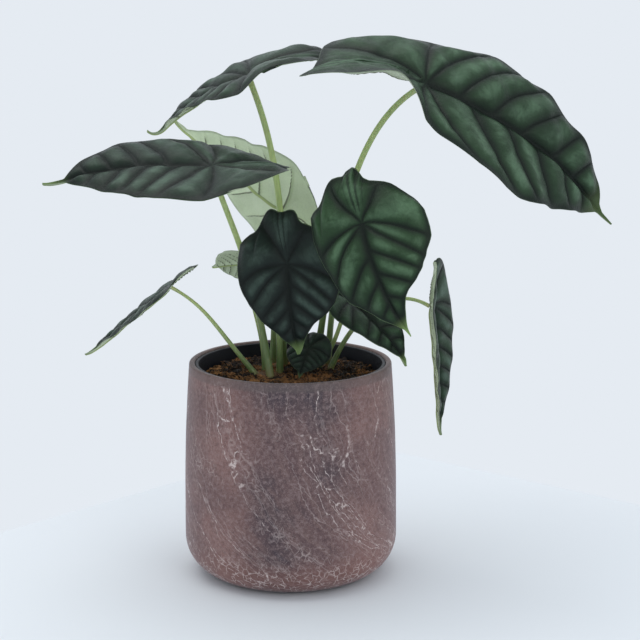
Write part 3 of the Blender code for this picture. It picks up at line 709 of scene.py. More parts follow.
def liner_profile():
    """Half section of the liner: thin tapered wall with a small rounded lip."""
    base, inside = NURSERY_BASE_Z, NURSERY_BASE_Z + NURSERY_WALL
    lip, edge = 0.5 * NURSERY_WALL, NURSERY_BASE_EDGE
    top = NURSERY_TOP_Z - lip
    neck = top - 2.0 * lip
    flats = (0.0, DRAIN_RING_RADIUS - DRAIN_BAND, DRAIN_RING_RADIUS + DRAIN_BAND)
    profile = [(r, base) for r in (*flats, NURSERY_BASE_RADIUS - edge)]
    profile += [(NURSERY_BASE_RADIUS, base + edge)]
    profile += [(nursery_radius(z), z) for z in between(base + edge, neck, 12)[:-1]]
    profile += [(NURSERY_TOP_RADIUS, neck)]
    profile += arc(pot_radius(top) - POT_WALL - CLEARANCE - lip, top, lip, lip, -90, 90, 8)
    profile += arc(NURSERY_TOP_RADIUS - lip, top, lip, lip, 90, 180, 4)
    profile += [(nursery_radius(z) - NURSERY_WALL, z) for z in between(top, inside, 12)]
    return profile + [(r, inside) for r in reversed(flats)]


class ALOCASIA_OT_planter(bpy.types.Operator):
    """Build the frosted outer planter."""
    bl_idname = "alocasia.planter"
    bl_label = "Planter"

    def execute(self, context):
        settings = context.scene.alocasia_planter

        def wobble(radius, height, turn):
            skin = np.where(height > 2 * MM, POT_WAVINESS, 0.0)
            return radius + ripple(turn * 2.0, height * 55.0, seed=3) * skin, height

        pot = turned("planter_shell", planter_profile(), settings.segments,
                     glaze_material(settings), wobble)
        settle(pot, "pot_glaze", "outer_pot")
        return {"FINISHED"}


class ALOCASIA_OT_liner(bpy.types.Operator):
    """Build the nursery pot inside the planter."""
    bl_idname = "alocasia.liner"
    bl_label = "Nursery pot"

    def execute(self, context):
        settings = context.scene.alocasia_planter
        material = liner_material(settings)
        source = turned("liner_source", liner_profile(), settings.segments, material)
        liner = grow("nursery_liner", source, drain_tree(material), material)
        settle(liner, "liner_plastic", "nursery_pot")
        return {"FINISHED"}


def soil_material(settings, name, lightness):
    """Crumbly coir: damp dark bits, dry orange-brown fibres."""
    paint = Paint(name, Specular_IOR_Level=0.25)
    span, noise, place = paint.span, paint.noise, paint.place
    coarse, fine = noise(place, 240.0, 4.0, 0.65), noise(place, 1300.0, 3.0, 0.6)
    share = span(coarse, 0.38, 0.66) + span(noise(place, 55.0), 0.40, 0.60, -0.62, 0.28)
    share = paint.math("ADD", share, lightness, clamp=True)
    color = paint.layers(
        paint.mix(share, settings.dark, settings.light),
        (span(fine, 0.6, 0.75, 0.0, 0.5), tone(168, 134, 92)),
        (span(fine, 0.45, 0.3, 0.0, 0.6), tone(24, 16, 12)))
    return paint.finish(color, span(coarse, 0.3, 0.7, 0.75, 0.98), coarse + fine, 0.6 * MM, 0.9)


def scatter_tree(name, seed, kind, count, size_mm, lift_mm, material):
    """Scatters crumbs, chips or fibres over a surface."""
    tree = Tree(name, Count=count, Size=size_mm * MM, Lift=lift_mm * MM)
    make, size = tree.make, tree.given["Size"]
    area = make("AttributeStatistic", {
        "Geometry": tree.surface, "Attribute": make("InputMeshFaceArea")}, "Sum",
        data_type="FLOAT", domain="FACE")
    points = make("DistributePointsOnFaces", {
        "Mesh": tree.surface, "Density": tree.given["Count"] / area, "Seed": seed},
        distribute_method="RANDOM")
    tilt = {"crumb": 3.1, "chip": 0.5, "fibre": 0.35}[kind]
    if kind == "fibre":
        body = make("CurvePrimitiveLine", {"Start": (-5.0, 0.0, 0.0), "End": (5.0, 0.0, 0.0)})
        body = make("ResampleCurve", {"Curve": body, "Count": 9})
        scale = (tree.random(0.0, 1.0, seed + 1) ** 4.0 * 1.9 + 0.35) * size
    else:
        body = (make("MeshIcoSphere", {"Radius": 1.0, "Subdivisions": 1}) if kind == "crumb" else
                make("MeshCube", {"Size": (3.4, 1.7, 0.7), "Vertices X": 3, "Vertices Y": 2,
                                  "Vertices Z": 2}))
        skew = tree.random((0.5, 0.5, 0.4), (1.5, 1.2, 1.0), seed + 2)
        scale = (tree.random(0.0, 1.0, seed + 3) ** 2.2 * 1.5 + 0.5) * size
        scale = tree.scaled(skew, scale)
    copies = make("InstanceOnPoints", {"Points": points, "Instance": body})
    turn = tree.random((-tilt, -tilt, 0.0), (tilt, tilt, 6.283), seed + 4)
    copies = make("RotateInstances", {"Instances": copies, "Rotation": turn})
    copies = make("ScaleInstances", {"Instances": copies, "Scale": scale})
    place = make("InputPosition")
    if kind == "fibre":
        curves = make("RealizeInstances", {0: copies})
        curves = tree.moved(curves, tree.drift(place, 120.0, 1.0, 9 * MM, (0.5, 0.5, 0.42)))
        profile = make("CurvePrimitiveCircle", {"Resolution": 3, "Radius": 0.17 * MM})
        return tree.finish(make("CurveToMesh", {
            "Curve": curves, "Profile Curve": profile, "Fill Caps": True}), material)
    lift = tree.get("ShaderNodeCombineXYZ", {2: tree.given["Lift"]})
    copies = make("TranslateInstances", {
        "Instances": copies, "Translation": lift, "Local Space": False})
    real = make("RealizeInstances", {0: copies})
    return tree.finish(tree.moved(real, tree.drift(place, 900.0, 2.0, size * 1.1)), material,
                       smooth=False)


def soil_disc(name, reach, keep_out):
    """Open patch of the soil's surface that loose bits are scattered on, clear of the stalks."""
    points = [(0.0, 0.0, soil_height(0.0))]
    around = [(k, (k + 1) % PATCH_STEPS) for k in range(PATCH_STEPS)]
    turns = [FULL_TURN * k / PATCH_STEPS for k in range(PATCH_STEPS)]
    for i in range(1, PATCH_RINGS + 1):
        radius = reach * i / PATCH_RINGS
        points += [(radius * math.cos(a), radius * math.sin(a), soil_height(radius)) for a in turns]
    faces = [(0, 1 + k, 1 + n) for k, n in around]
    for a in range(1, 1 + (PATCH_RINGS - 1) * PATCH_STEPS, PATCH_STEPS):
        b = a + PATCH_STEPS
        faces += [(a + k, b + k, b + n, a + n) for k, n in around]
    centres = [np.mean([points[v] for v in f], axis=0) for f in faces]
    clear = [f for f, c in zip(faces, centres)
             if all(math.hypot(c[0] - x, c[1] - y) > r for x, y, r in keep_out)]
    return mesh_object(name, points, clear)


class ALOCASIA_OT_soil(bpy.types.Operator):
    """Build the soil and its loose crumbs, fibres and chips."""
    bl_idname = "alocasia.soil"
    bl_label = "Soil"

    def execute(self, context):
        settings = context.scene.alocasia_soil
        edge = soil_radius(SOIL_EDGE_Z)
        heights = [SOIL_BASE_Z] + between(SOIL_BASE_Z, SOIL_EDGE_Z, 10)
        profile = [(0.0, SOIL_BASE_Z)] + [(soil_radius(z), z) for z in heights]
        profile += [(edge * s, soil_height(edge * s)) for s in np.linspace(0.985, 0.02, 44)]
        profile.append((0.0, soil_height(0.0)))

        def wobble(radius, height, turn):
            top = smooth_step((height - SOIL_EDGE_Z) / (0.4 * MM))
            x, y = radius * np.cos(turn), radius * np.sin(turn)
            bumps = 0.55 * ripple(x * 700, y * 700, seed=1) + 0.9 * ripple(x * 210, y * 190, seed=2)
            return radius, height + bumps * top * MM

        bed = turned("soil_bed", profile, 160, soil_material(settings, "damp_soil", -0.20), wobble)
        settle(bed, "soil", "potting_soil")
        feet = [(s[0][0] * MM, s[0][1] * MM, (s[3] + 0.8) * MM) for s in STALKS.values()]
        crumb = soil_material(settings, "dry_crumbs", 0.05)
        coir = soil_material(settings, "coir_fibre", 0.35)
        for name, margin_mm, material, *recipe in (
                ("soil_crumbs", 2.0, crumb, 11, "crumb", settings.crumbs, 1.25, 0.3),
                ("soil_chips", 5.0, crumb, 23, "chip", settings.chips, 1.0, 0.9),
                ("soil_fibres", 5.0, coir, 37, "fibre", settings.fibres, 1.0, 0.0)):
            patch = soil_disc(name + "_source", edge - margin_mm * MM, feet)
            tree = scatter_tree(name, *recipe, material)
            settle(grow(name, patch, tree, material), "soil")
        return {"FINISHED"}


def corm_material():
    """Papery brown skin with rings and fibres."""
    paint = Paint("corm_papery_skin", Specular_IOR_Level=0.3)
    rings = paint.noise(paint.vector("MULTIPLY", paint.place, (0.25, 0.25, 1.0)), 700.0)
    fibres = paint.noise(paint.squashed(paint.place, 0.15), 1100.0)
    color = paint.layers(
        paint.mix(paint.span(fibres, 0.35, 0.65), tone(66, 46, 32), tone(122, 88, 56)),
        (paint.span(rings, 0.55, 0.7, 0.0, 0.5), tone(40, 28, 20)))
    rough = paint.span(fibres, 0.3, 0.7, 0.7, 0.95)
    return paint.finish(color, rough, rings + fibres, 0.5 * MM, 0.9)


class ALOCASIA_OT_corms(bpy.types.Operator):
    """Build the three corms that the stalks grow from."""
    bl_idname = "alocasia.corms"
    bl_label = "Corms"

    def execute(self, context):
        material, half = corm_material(), 0.5 * CORM_DEPTH
        for index, (node, (x, y, wide)) in enumerate(CORMS.items()):
            profile = [(0.0, CORM_TOP_Z - CORM_DEPTH)]
            profile += arc(0.0, CORM_TOP_Z - half, wide * MM, half, -82, 40, 22)
            profile += [(wide * MM * s, CORM_TOP_Z - CORM_CROWN_DROP * s ** 4)
                        for s in (0.7, 0.6, 0.45, 0.3, 0.15, 0.0)]

            def wobble(radius, height, turn):
                rings = 0.35 * MM * np.sin(height * 2600.0 + np.sin(turn * 3.0 + index))
                return radius + rings * smooth_step(radius / (4 * MM)), height

            corm = turned(node + "_skin", profile, 56, material, wobble, (x * MM, y * MM))
            settle(corm, "corm_skin", node)
        return {"FINISHED"}


# ---------------------------------------------------------------- leaf blades

def turn_matrix(axis, degrees):
    """Rotation about one axis."""
    c, s = math.cos(math.radians(degrees)), math.sin(math.radians(degrees))
    rows = {"X": ((1, 0, 0), (0, c, -s), (0, s, c)), "Y": ((c, 0, s), (0, 1, 0), (-s, 0, c)),
            "Z": ((c, -s, 0), (s, c, 0), (0, 0, 1))}
    return np.array(rows[axis], float)


def softened(place, places, values):
    """Values read from a table of places, with the corners between its rows rounded off."""
    before, at, after = (np.interp(place + step * MARGIN_SOFTENING_MM, places, values)
                         for step in (-1.0, 0.0, 1.0))
    return 0.25 * before + 0.5 * at + 0.25 * after


class Leaf:
    """The numbers of one blade, and the shapes that follow from them."""

    def __init__(self, at, pose, size, bend, front, drip, veins, wave, finish, rear=None,
                 outline=(1.6, 0.85), sway=0.0, slant=0.36, lobe_end=None, ahead=None, behind=None):
        self.length, self.width, rear_share = size
        self.half = 0.5 * self.width
        self.front_mm, self.rear_mm = self.length * (1.0 - rear_share), self.length * rear_share
        self.at, self.bend, self.drip = np.array(at, float), [math.radians(v) for v in bend], drip
        rear = rear or front
        self.shapes = list(zip(front, rear, lobe_end or rear))
        self.outline, self.sway, self.slant, self.veins = outline, sway, slant, veins
        self.wave, self.finish = wave, dict(zip(("rank", "bloom", "warmth"), finish))
        self.ahead, self.behind = (t and np.array(t, float) for t in (ahead, behind))
        self.pose = (turn_matrix("Z", -pose[0]) @ turn_matrix("X", pose[1])
                     @ turn_matrix("Y", pose[2]))

    def half_ahead(self, y, right):
        """Half the blade's width on one side at distances y ahead of the stalk."""
        if self.ahead is not None:
            places, left_half, right_half = self.ahead.T
            return np.where(right, softened(y, places, right_half), softened(y, places, left_half))
        drip = DRIP_SHARE * self.length
        body = self.front_mm - drip
        taper, full = self.outline
        plain = self.half * (1.0 - np.clip(y / body, 0.0, 1.0) ** taper) ** full
        left = smooth_step(np.minimum((self.front_mm - y) / drip, 2.0))
        thread = TIP_POINT_HALF_WIDTH_MM + (TIP_HALF_WIDTH_MM - TIP_POINT_HALF_WIDTH_MM) * left
        return smooth_max(plain, thread * (y > 0.5 * body), 0.02 * self.half)

    def reach_behind(self, x, share):
        """Distance of the rear margin behind the stalk at places x, a share of the corner width."""
        if self.behind is not None:
            return softened(x, *self.behind.T)
        round_off = np.clip(1.0 - np.abs(share) ** LOBE_POWER, 0.0, 1.0) ** LOBE_FULLNESS
        shape = CORNER_SHARE + (1.0 - CORNER_SHARE) * round_off
        return self.rear_mm * shape * (1.0 - CLEFT_DEPTH * bell(share / CLEFT_WIDTH))

    def midrib(self, count=480):
        """Samples of the midrib: distance along it, position, across and up directions."""
        droop, lift, twist, sweep, rear_sweep = self.bend
        y = np.linspace(-REAR_OVERRUN * self.rear_mm, FRONT_OVERRUN * self.front_mm, count + 1)
        behind = np.clip(-y / self.rear_mm, 0, 1.5)
        ahead = np.clip(y / self.front_mm, 0, 1)
        curl = np.clip((ahead - DRIP_BEND_START) / (1.0 - DRIP_BEND_START), 0, 1) ** 1.3
        rise = -droop * ahead ** 1.5 + lift * behind ** 1.3 + math.radians(self.drip) * curl
        side = sweep * ahead - rear_sweep * behind
        tangent = np.stack([np.sin(side) * np.cos(rise), np.cos(side) * np.cos(rise),
                            np.sin(rise)], -1)
        place = np.zeros_like(tangent)
        place[1:] = np.cumsum((tangent[1:] + tangent[:-1]) * 0.5 * (y[1] - y[0]), axis=0)
        across = np.stack([np.cos(side), -np.sin(side), np.zeros_like(side)], -1)
        up = np.cross(across, tangent)
        turn = (twist * ahead - twist * behind)[:, None]
        place = place - place[np.argmin(np.abs(y))]
        c, s = np.cos(turn), np.sin(turn)
        return y, place, across * c + up * s, up * c - across * s

    def section(self, y, x):
        """Offsets across and up of points x from the midrib, by the fold and arch of their half."""
        share = smooth_step((REAR_BLEND_START * self.length - y) / (REAR_BLEND_SPAN * self.length))
        lobe = smooth_step((-y / self.rear_mm - LOBE_END_START) / (1.0 - LOBE_END_START))
        shape = [front + (rear + (end - rear) * lobe - front) * share
                 for front, rear, end in self.shapes]
        fold = np.radians(np.where(x < 0, shape[0], shape[2]))
        curl = np.radians(np.where(x < 0, shape[1], shape[3])) / self.half
        curl = np.where(np.abs(curl) < 1e-6, 1e-6, curl)
        bent = fold - curl * np.abs(x)
        out, lift = (np.sin(fold) - np.sin(bent)) / curl, (np.cos(bent) - np.cos(fold)) / curl
        return np.copysign(out, x), lift

    def vein_phase(self, x, y):
        """Vein count at a point: it is a whole number on each lateral vein."""
        x = x - self.sway * np.clip(-y / self.rear_mm, 0.0, 1.0) ** 1.5
        reach = np.abs(x)
        start = y - (self.slant * reach + VEIN_CURVE * reach * reach / self.half)
        share = start / self.front_mm
        share = share + np.where(x < 0, VEIN_OFFSET, -VEIN_OFFSET) * smooth_step(share / 0.25)
        starts = 1.03 * (np.arange(self.veins + 2) / (self.veins + 1.0)) ** 0.88
        ahead = np.interp(share, starts, np.arange(len(starts)))
        angle = np.degrees(np.arctan2(-start, np.maximum(reach, 1e-6)))
        behind = -np.interp(angle, VEIN_REAR, np.arange(len(VEIN_REAR)))
        drift = VEIN_DRIFT * ripple(x / 34.0, y / 30.0, seed=self.veins + int(self.length))
        drift = drift * smooth_step(np.hypot(x, y) / (0.3 * self.half))
        return np.where(start > 0, ahead, behind) + drift

    def grid(self):
        """Rows of points over the blade: x, y, distance to the margin, and the share of it."""
        s = np.linspace(-1.0, 1.0, 2 * int(self.half / GRID_SPACING_MM) + 1)[None, :]
        right, inward = s > 0, 1.0 - np.abs(s)
        ends = (CORNER_WIDTH * self.half,) * 2
        if self.behind is not None:
            ends = -self.behind[0, 0], self.behind[-1, 0]
        corners = np.where(right, ends[1], ends[0])
        waist = self.half_ahead(np.zeros_like(s), right)
        t = np.linspace(1.0, 0.0, int(self.rear_mm / GRID_SPACING_MM))[:, None]
        side = waist + (corners - waist) * t ** 2
        reach = self.reach_behind(s * corners, s)
        slope = (np.gradient(reach[0], s[0]) / corners[0])[None, :]
        rear_edge = np.minimum(inward * side, (1.0 - t) * reach / np.sqrt(1.0 + slope ** 2))
        u = np.linspace(0.0, 1.0, int(1.1 * self.front_mm / GRID_SPACING_MM))[1:, None]
        end = self.front_mm if self.ahead is None else self.ahead[-1, 0]
        y = np.tile(end * (0.6 * u + 0.4 * np.sin(0.5 * math.pi * u)), s.shape)
        half = self.half_ahead(y, right)
        inward_ahead = np.tile(inward, u.shape)
        return (np.vstack([s * side, s * half]), np.vstack([-t * reach, y]),
                np.vstack([rear_edge, np.minimum(inward_ahead * half, end - y)]),
                np.vstack([np.minimum(inward, 1.0 - t), inward_ahead]))

    def fields(self, x, y, edge_mm, edge, index):
        """Masks and heights over the blade: what the relief and the colours follow."""
        phase, step = self.vein_phase(x, y), 0.2
        slope_x = (self.vein_phase(x + np.where(x < 0, -step, step), y) - phase) / step
        slope_y = (self.vein_phase(x, y + step) - phase) / step
        slope = np.maximum(np.hypot(slope_x, slope_y), 1e-3)
        scale = math.sqrt(self.width / 100.0)
        fade = smooth_step(edge_mm / (FADE_SHARE * self.width))
        # Lateral veins, the shade beside them, and the midrib in its trough.
        line = np.abs(phase - np.round(phase)) / slope
        vein_width = scale * (0.40 + 0.60 * edge)
        vein = 0.8 * bell(line / vein_width) * (0.25 + 0.75 * fade)
        shade = bell(line / (5.0 * vein_width)) * fade
        rib_width = scale * (0.7 + 0.9 * np.clip((self.front_mm - y) / self.front_mm, 0, 1))
        rib = bell(x / rib_width) * smooth_step((y + 1.0) / 3.0)
        trough = bell(x / (3.4 * rib_width)) * smooth_step((y + 4.0) / 10.0)
        # Pleats that fan out over the rear lobes.
        behind = np.clip(-y / self.rear_mm, 0.0, 1.2)
        across = x - self.sway * behind ** 1.5
        fan = PLEAT_SHARE * self.width * (0.35 + 0.65 * behind)
        pleat = np.cos(FULL_TURN * across / fan) * bell(across / (1.55 * fan))
        pleat = pleat * smooth_step((behind - 0.08) / 0.30)
        # Puffed pads between the veins, and slow bumps and waves over the whole blade.
        pad = np.abs(np.sin(math.pi * phase))
        pad_width = np.minimum(1.0 / slope, PAD_SHARE * self.width)
        relief = pad_width * pad ** 0.85 * fade * (1.0 - trough)
        low = 0.8 * scale * ripple(x / 9.0, y / 8.0, seed=index) * fade
        extra = low + 0.45 * scale * pleat - 1.0 * scale * trough
        core = 0.85 * bell(np.hypot(x, y) / (CORE_SHARE * self.width))
        blunt = smooth_step((self.front_mm - y) / (0.15 * self.front_mm))
        wave = self.wave * np.sin(math.pi * phase + index) * (1.0 - edge) ** 4 * blunt
        flat = {key: np.full(x.shape, value) for key, value in self.finish.items()}
        return dict(
            flat, pad=pad * fade * (1.0 - trough), pad_height=relief * MM, lift=(extra + wave) * MM,
            vein=np.maximum(vein, rib), shade=np.maximum(np.maximum(shade, 0.8 * trough), core),
            rib=rib, rim=smooth_step(1.0 - edge_mm / (RIM_SHARE * self.width + 0.3)),
            tip=smooth_step((y / self.front_mm - TIP_START) / TIP_SPAN), pleat=pleat,
            thin=np.sqrt(np.clip(edge_mm / THIN_EDGE_MM, 0.0, 1.0)),
            hem=smooth_step(1.0 - edge_mm / HEM_WIDTH_MM))

    def sheet(self, name, index):
        """Fine mid-surface of the blade, with its fields stored on its points."""
        x, y, edge_mm, edge = self.grid()
        phase = self.vein_phase(x[:, [0, -1]], y[:, [0, -1]])
        x = x * (1.0 + SCALLOP * np.cos(FULL_TURN * np.where(x < 0, phase[:, :1], phase[:, 1:])))
        along, *ways = self.midrib()
        base, side, normal = (np.stack([np.interp(y, along, way[:, k]) for k in range(3)], -1)
                              for way in ways)
        out, lift = self.section(y, x)
        points = base + side * out[..., None] + normal * lift[..., None]
        world = (points @ self.pose.T + self.at) * MM
        rows, n = x.shape
        first = (np.arange(rows - 1)[:, None] * n + np.arange(n - 1)[None, :]).ravel()
        faces = np.stack([first, first + 1, first + n + 1, first + n], -1).tolist()
        # The quads at the sheet's four corners are cut through the corner itself, so that no
        # triangle has all its points on the margin, where both sides of the leaf share them.
        last = len(faces) - 1
        for place, turn in ((last, 0), (last - n + 2, 1), (n - 2, 1), (0, 0)):
            a, b, c, d = faces[place][turn:] + faces[place][:turn]
            faces[place:place + 1] = [(a, b, c), (a, c, d)]
        obj = mesh_object(name, world.reshape(-1, 3), faces)
        for key, values in self.fields(x, y, edge_mm, edge, index).items():
            attribute = obj.data.attributes.new(key, "FLOAT", "POINT")
            attribute.data.foreach_set("value", values.astype(np.float32).ravel())
        return obj


BLADES = {node: Leaf(**numbers) for node, numbers in LEAVES.items()}


def relief_tree(settings, material):
    """Thickens a blade's mid-surface into a closed leaf: quilted pads, sunken veins, ribs below."""
    tree = Tree("leaf_relief", Quilting=settings.quilt, Vein_depth=settings.vein_depth,
                Rib_height=settings.rib_height, Thickness=settings.thickness)
    given, stored = tree.given, tree.stored
    normal = tree.make("InputNormal")
    middle = (stored("pad_height") * given["Quilting"] + stored("lift")
              - stored("vein") * given["Vein_depth"])
    half = given["Thickness"] * 0.5 * stored("thin")
    ribs = stored("vein") * given["Rib_height"] * stored("thin")
    top = tree.moved(tree.surface, tree.scaled(normal, middle + half))
    low = tree.moved(tree.surface, tree.scaled(normal, middle - half - ribs))
    low = tree.store(tree.make("FlipFaces", {0: low}), "under", 1.0)
    both = tree.node("GeometryNodeJoinGeometry", {0: low})
    tree.feed(both.inputs[0], tree.store(top, "under", 0.0))
    sewn = tree.make("MergeByDistance", {
        "Geometry": Value(tree, both.outputs[0]), "Distance": WELD_DISTANCE})
    return tree.finish(sewn, material)


def leaf_material(settings):
    """Quilted waxy leaf: dark veins, silvery bloom and a painted highlight on the pads, pale underside with dark
    veins, brightened on fresh leaves with painted light shining through.
    """
    paint = Paint("quilted_leaf", Specular_IOR_Level=0.17, Sheen_Weight=0.01, Sheen_Roughness=0.4,
                  Sheen_Tint=(*tone(205, 220, 214), 1.0))
    span, noise, mix, place = paint.span, paint.noise, paint.mix, paint.place
    pad, vein, shade, bloom, rim, tip, rank, pleat, hem, warmth, rib, under = (
        paint.attribute(name) for name in ("pad", "vein", "shade", "bloom", "rim", "tip", "rank",
                                           "pleat", "hem", "warmth", "rib", "under"))
    blotch = noise(place, 62.0, 4.0, 0.6, 0.6)
    cloud = noise(place, 26.0, 2.0)
    grain = noise(place, 700.0, 4.0, 0.6)
    warped = paint.vector("ADD", place, paint.drift(place, 160.0, 2.0, 5 * MM, (0.0, 0.0, 0.0)))
    net = span(paint.edges(warped, 420.0), 0.10, 0.0)
    valley = mix(rank, tone(14, 21, 20), tone(17, 30, 20))
    # Pads grow lighter towards their crests. This is partly the leaf's real silvery green between the veins and
    # partly a painted highlight where the raised pads face the light; the crest colour carries both.
    crest_colour_and_highlight = mix(rank, tone(48, 60, 57), tone(80, 112, 76))
    crest_colour_and_highlight = mix(bloom * 0.75, crest_colour_and_highlight, settings.bloom)
    pad_colour_and_highlight = pad ** 0.8 * (blotch * 1.75 + 0.02)
    top = paint.layers(
        valley,
        (span(pad_colour_and_highlight, 0.02, 0.62), mix(rank, settings.aged, settings.fresh)),
        (span(pad_colour_and_highlight, 0.55, 1.20), crest_colour_and_highlight),
        (span(cloud, 0.55, 0.36, 0.0, 0.40), valley),
        (shade * 0.50, valley),
        # The pleat ridges take the crest colour, with its painted highlight, and the sunken folds take the vein
        # colour.
        (span(pleat, 0.35, 0.95, 0.0, 0.55), crest_colour_and_highlight),
        (span(pleat, -0.10, -0.50, 0.0, 0.60), settings.vein),
        (net * 0.14, settings.vein),
        (vein * 0.80, settings.vein),
        (rim * 0.70, settings.margin),
        (hem * warmth * 0.55, tone(128, 156, 112)),
        (tip * warmth, settings.tip))
    # The underside of a fresh leaf takes the fresh colour, brightened with painted light shining through the
    # thin blade.
    low = paint.layers(
        mix(warmth, settings.under, settings.under_fresh_with_light_through),
        (span(blotch, 0.35, 0.65, 0.0, 0.18), tone(206, 214, 190)),
        (net * 0.10, tone(118, 142, 92)),
        (span(vein, 0.30, 0.62, 0.0, 0.80), tone(74, 78, 54)),
        (span(rib, 0.3, 0.8), tone(168, 184, 126)),
        (rim * 0.55, tone(96, 112, 88)))
    rough = span(grain, 0.3, 0.7, 0.34, 0.50) + vein * 0.12
    return paint.finish(mix(span(under, 0.4, 0.6), top, low), rough, grain * 0.35 + net * -0.5,
                        0.16 * MM, 0.6)


class ALOCASIA_OT_leaves(bpy.types.Operator):
    """Build the eleven leaf blades."""
    bl_idname = "alocasia.leaves"
    bl_label = "Leaves"

    def execute(self, context):
        settings = context.scene.alocasia_leaf
        material = leaf_material(settings)
        tree = relief_tree(settings, material)
        for index, (node, leaf) in enumerate(BLADES.items()):
            source = leaf.sheet(node + "_source", index)
            blade = grow(node.replace("leaf_", "blade_"), source, tree, material)
            settle(blade, "leaf_blade", node)
        return {"FINISHED"}


# ---------------------------------------------------------------- stalks

def stalk_source(name, leaf, shape, flare_at_full):
    """A poly curve from inside the corm to inside the blade, with its radii and flared foot."""
    foot, first, second, foot_radius, top_radius = shape
    up, end = leaf.pose @ np.array([0.0, 0.0, 1.0]), leaf.at * MM
    a = np.array([foot[0] * MM, foot[1] * MM, CORM_TOP_Z - STALK_FOOT_DEPTH])
    b, c = np.array(first, float) * MM, np.array(second, float) * MM
    arrival = (end - c) / np.linalg.norm(end - c)
    slope = math.sqrt(max(1.0 - float(arrival @ up) ** 2, 0.0))
    d = end - up * (STALK_TOP_GAP + top_radius * MM * slope)
    t = np.linspace(0.0, 1.0, STALK_POINTS)[:, None]
    s = 1.0 - t
    line = a * s ** 3 + b * (3 * s * s * t) + c * (3 * s * t * t) + d * t ** 3
    radius = (foot_radius + (top_radius - foot_radius) * t[:, 0] ** 0.8) * MM
    flare = flare_at_full * radius[0] / STALK_FLARE_RADIUS
    length = np.concatenate([[0], np.cumsum(np.linalg.norm(np.diff(line, axis=0), axis=1))])
    spread = flare * (1.0 - smooth_step(length / (0.16 * length[-1] + 4 * MM)))
    neck = 0.25 * MM * smooth_step((length - length[-1] + STALK_NECK) / STALK_NECK)
    data = bpy.data.curves.new(name, "CURVE")
    data.dimensions = "3D"
    spline = data.splines.new("POLY")
    spline.points.add(len(line) - 1)
    spline.points.foreach_set("co", np.hstack([line, np.ones((len(line), 1))]).ravel())
    spline.points.foreach_set("radius", radius + spread + neck)
    return placed(name, data)


def stalk_tree(settings, material):
    """Sweeps a round, faintly ridged section along a line, following its radius."""
    tree = Tree("stalk_sweep", Sides=settings.sides, Ridge_height=STALK_RIDGE_HEIGHT)
    make, factor = tree.make, tree.make("SplineParameter")
    curve = tree.store(tree.surface, "along", factor)
    profile = make("CurvePrimitiveCircle", {"Resolution": tree.given["Sides"], "Radius": 1.0})
    tube = make("CurveToMesh", {
        "Curve": curve, "Profile Curve": tree.store(profile, "round", factor), "Fill Caps": True,
        "Scale": make("InputRadius")})
    wave = tree.math("SINE", tree.stored("round") * (STALK_RIDGES * FULL_TURN))
    ridge = tree.scaled(make("InputNormal"), wave * tree.given["Ridge_height"])
    return tree.finish(tree.moved(tube, ridge), material)


def stalk_material(settings):
    """Fleshy light green stalk with lengthwise streaks."""
    paint = Paint("fleshy_stalk", Specular_IOR_Level=0.45, Subsurface_Weight=0.12,
                  Subsurface_Scale=2 * MM)
    span, along = paint.span, paint.attribute("along")
    streak = paint.noise(paint.squashed(paint.place, 0.06), 900.0)
    mottle = paint.noise(paint.squashed(paint.place, 0.4), 260.0)
    color = paint.layers(
        settings.green,
        (span(along, 0.05, 0.60, 0.95, 0.0), settings.deep),
        (span(along, 0.86, 1.0, 0.0, 0.75), settings.pale),
        (span(streak, 0.42, 0.66, 0.0, 0.26), settings.deep),
        (span(mottle, 0.52, 0.7, 0.0, 0.14), settings.pale),
        (span(along, 0.07, 0.0, 0.0, 0.6), tone(120, 104, 66)))
    return paint.finish(color, span(streak, 0.3, 0.7, 0.36, 0.50), streak + mottle, 0.15 * MM, 0.5)


class ALOCASIA_OT_stalks(bpy.types.Operator):
    """Build a stalk for each leaf."""
    bl_idname = "alocasia.stalks"
    bl_label = "Stalks"

    def execute(self, context):
        settings = context.scene.alocasia_stalk
        material = stalk_material(settings)
        tree = stalk_tree(settings, material)
        for node, leaf in BLADES.items():
            name = node.replace("leaf_", "petiole_")
            source = stalk_source(name + "_line", leaf, STALKS[node], settings.flare)
            stalk = grow(name, source, tree, material)
            settle(stalk, "leaf_stalk", node.replace("leaf_", "stalk_"))
        return {"FINISHED"}


# ---------------------------------------------------------------- stage

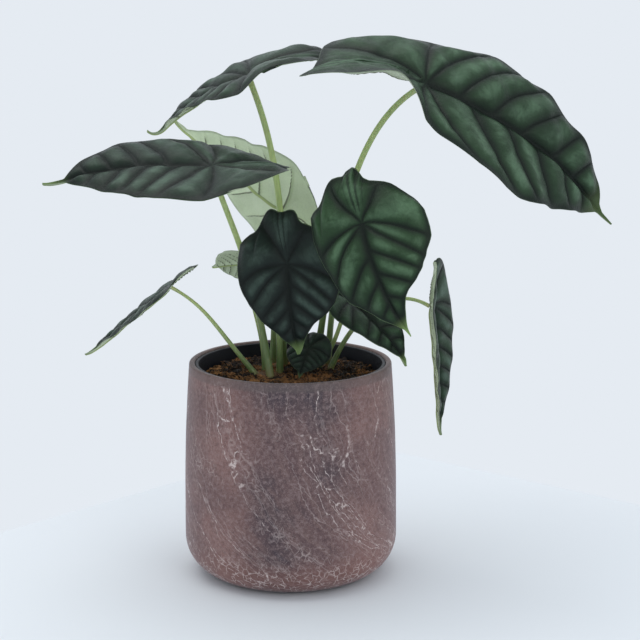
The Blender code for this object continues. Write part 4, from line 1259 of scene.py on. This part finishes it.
class ALOCASIA_OT_stage(bpy.types.Operator):
    """Set up the floor, the soft light and the camera."""
    bl_idname = "alocasia.stage"
    bl_label = "Stage"

    def execute(self, context):
        settings, scene = context.scene.alocasia_stage, context.scene
        paint = Paint("matte_floor", Specular_IOR_Level=0.2, Roughness=0.7)
        cloud = paint.span(paint.noise(paint.place, 6.0), 0.3, 0.7, 0.0, 0.15)
        color = paint.mix(cloud, settings.floor, tone(217, 222, 227))
        paint.feed(paint.shader.inputs["Base Color"], color)
        corner = np.array(FLOOR_CORNER)
        left, right = (FLOOR_REACH * np.array(side) for side in FLOOR_SIDES)
        outline = [corner, corner + left, corner + left + right, corner + right]
        floor = mesh_object("floor", [(*p, 0.0) for p in outline], [(0, 1, 2, 3)], paint.material)
        world = bpy.data.worlds.new("studio_air")
        world.use_nodes = True
        air = world.node_tree.nodes["Background"]
        air.inputs[0].default_value = (*settings.air, 1.0)
        air.inputs[1].default_value = 1.0
        scene.world = world
        scene.view_settings.view_transform = "Standard"
        for name, (power, size, place, aim) in LAMPS.items():
            lamp = bpy.data.lights.new(name, "AREA")
            lamp.energy, lamp.size = getattr(settings, power), size
            lamp.color = (1.0, 0.99, 0.97)
            obj = placed(name, lamp)
            obj.location = place
            obj.rotation_euler = (Vector(aim) - Vector(place)).to_track_quat("-Z", "Y").to_euler()
        camera = bpy.data.cameras.new("camera")
        camera.lens, camera.sensor_width = CAMERA_LENS_MM, CAMERA_SENSOR_MM
        camera.clip_start, camera.clip_end = 0.05, 20.0
        eye = placed("camera", camera)
        eye.location = CAMERA_PLACE
        eye.rotation_euler = [math.radians(a) for a in CAMERA_TURN]
        scene.camera = eye
        return {"FINISHED"}


STEPS = (ALOCASIA_OT_stage, ALOCASIA_OT_planter, ALOCASIA_OT_liner, ALOCASIA_OT_soil,
         ALOCASIA_OT_corms, ALOCASIA_OT_stalks, ALOCASIA_OT_leaves)
SETTINGS = {"alocasia_planter": PlanterSettings, "alocasia_leaf": LeafSettings,
            "alocasia_stalk": StalkSettings, "alocasia_soil": SoilSettings,
            "alocasia_stage": StageSettings}


class ALOCASIA_PT_panel(bpy.types.Panel):
    """Lists the steps and their settings in the sidebar."""
    bl_idname = "ALOCASIA_PT_panel"
    bl_label = "Potted Alocasia"
    bl_space_type = "VIEW_3D"
    bl_region_type = "UI"
    bl_category = "Alocasia"

    def draw(self, context):
        for step in STEPS:
            self.layout.operator(step.bl_idname)
        for key, group in SETTINGS.items():
            box = self.layout.box()
            settings = getattr(context.scene, key)
            for name in group.__annotations__:
                box.prop(settings, name)


def register():
    """Register the settings, the operators and the panel."""
    for group in SETTINGS.values():
        bpy.utils.register_class(group)
    for step in STEPS:
        bpy.utils.register_class(step)
    bpy.utils.register_class(ALOCASIA_PT_panel)
    for key, group in SETTINGS.items():
        setattr(bpy.types.Scene, key, PointerProperty(type=group))


def unregister():
    """Undo register."""
    for key in SETTINGS:
        delattr(bpy.types.Scene, key)
    bpy.utils.unregister_class(ALOCASIA_PT_panel)
    for step in reversed(STEPS):
        bpy.utils.unregister_class(step)
    for group in reversed(list(SETTINGS.values())):
        bpy.utils.unregister_class(group)


def main():
    """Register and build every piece."""
    register()
    bpy.ops.alocasia.stage()
    bpy.ops.alocasia.planter()
    bpy.ops.alocasia.liner()
    bpy.ops.alocasia.soil()
    bpy.ops.alocasia.corms()
    bpy.ops.alocasia.stalks()
    bpy.ops.alocasia.leaves()


if __name__ == "__main__":
    main()
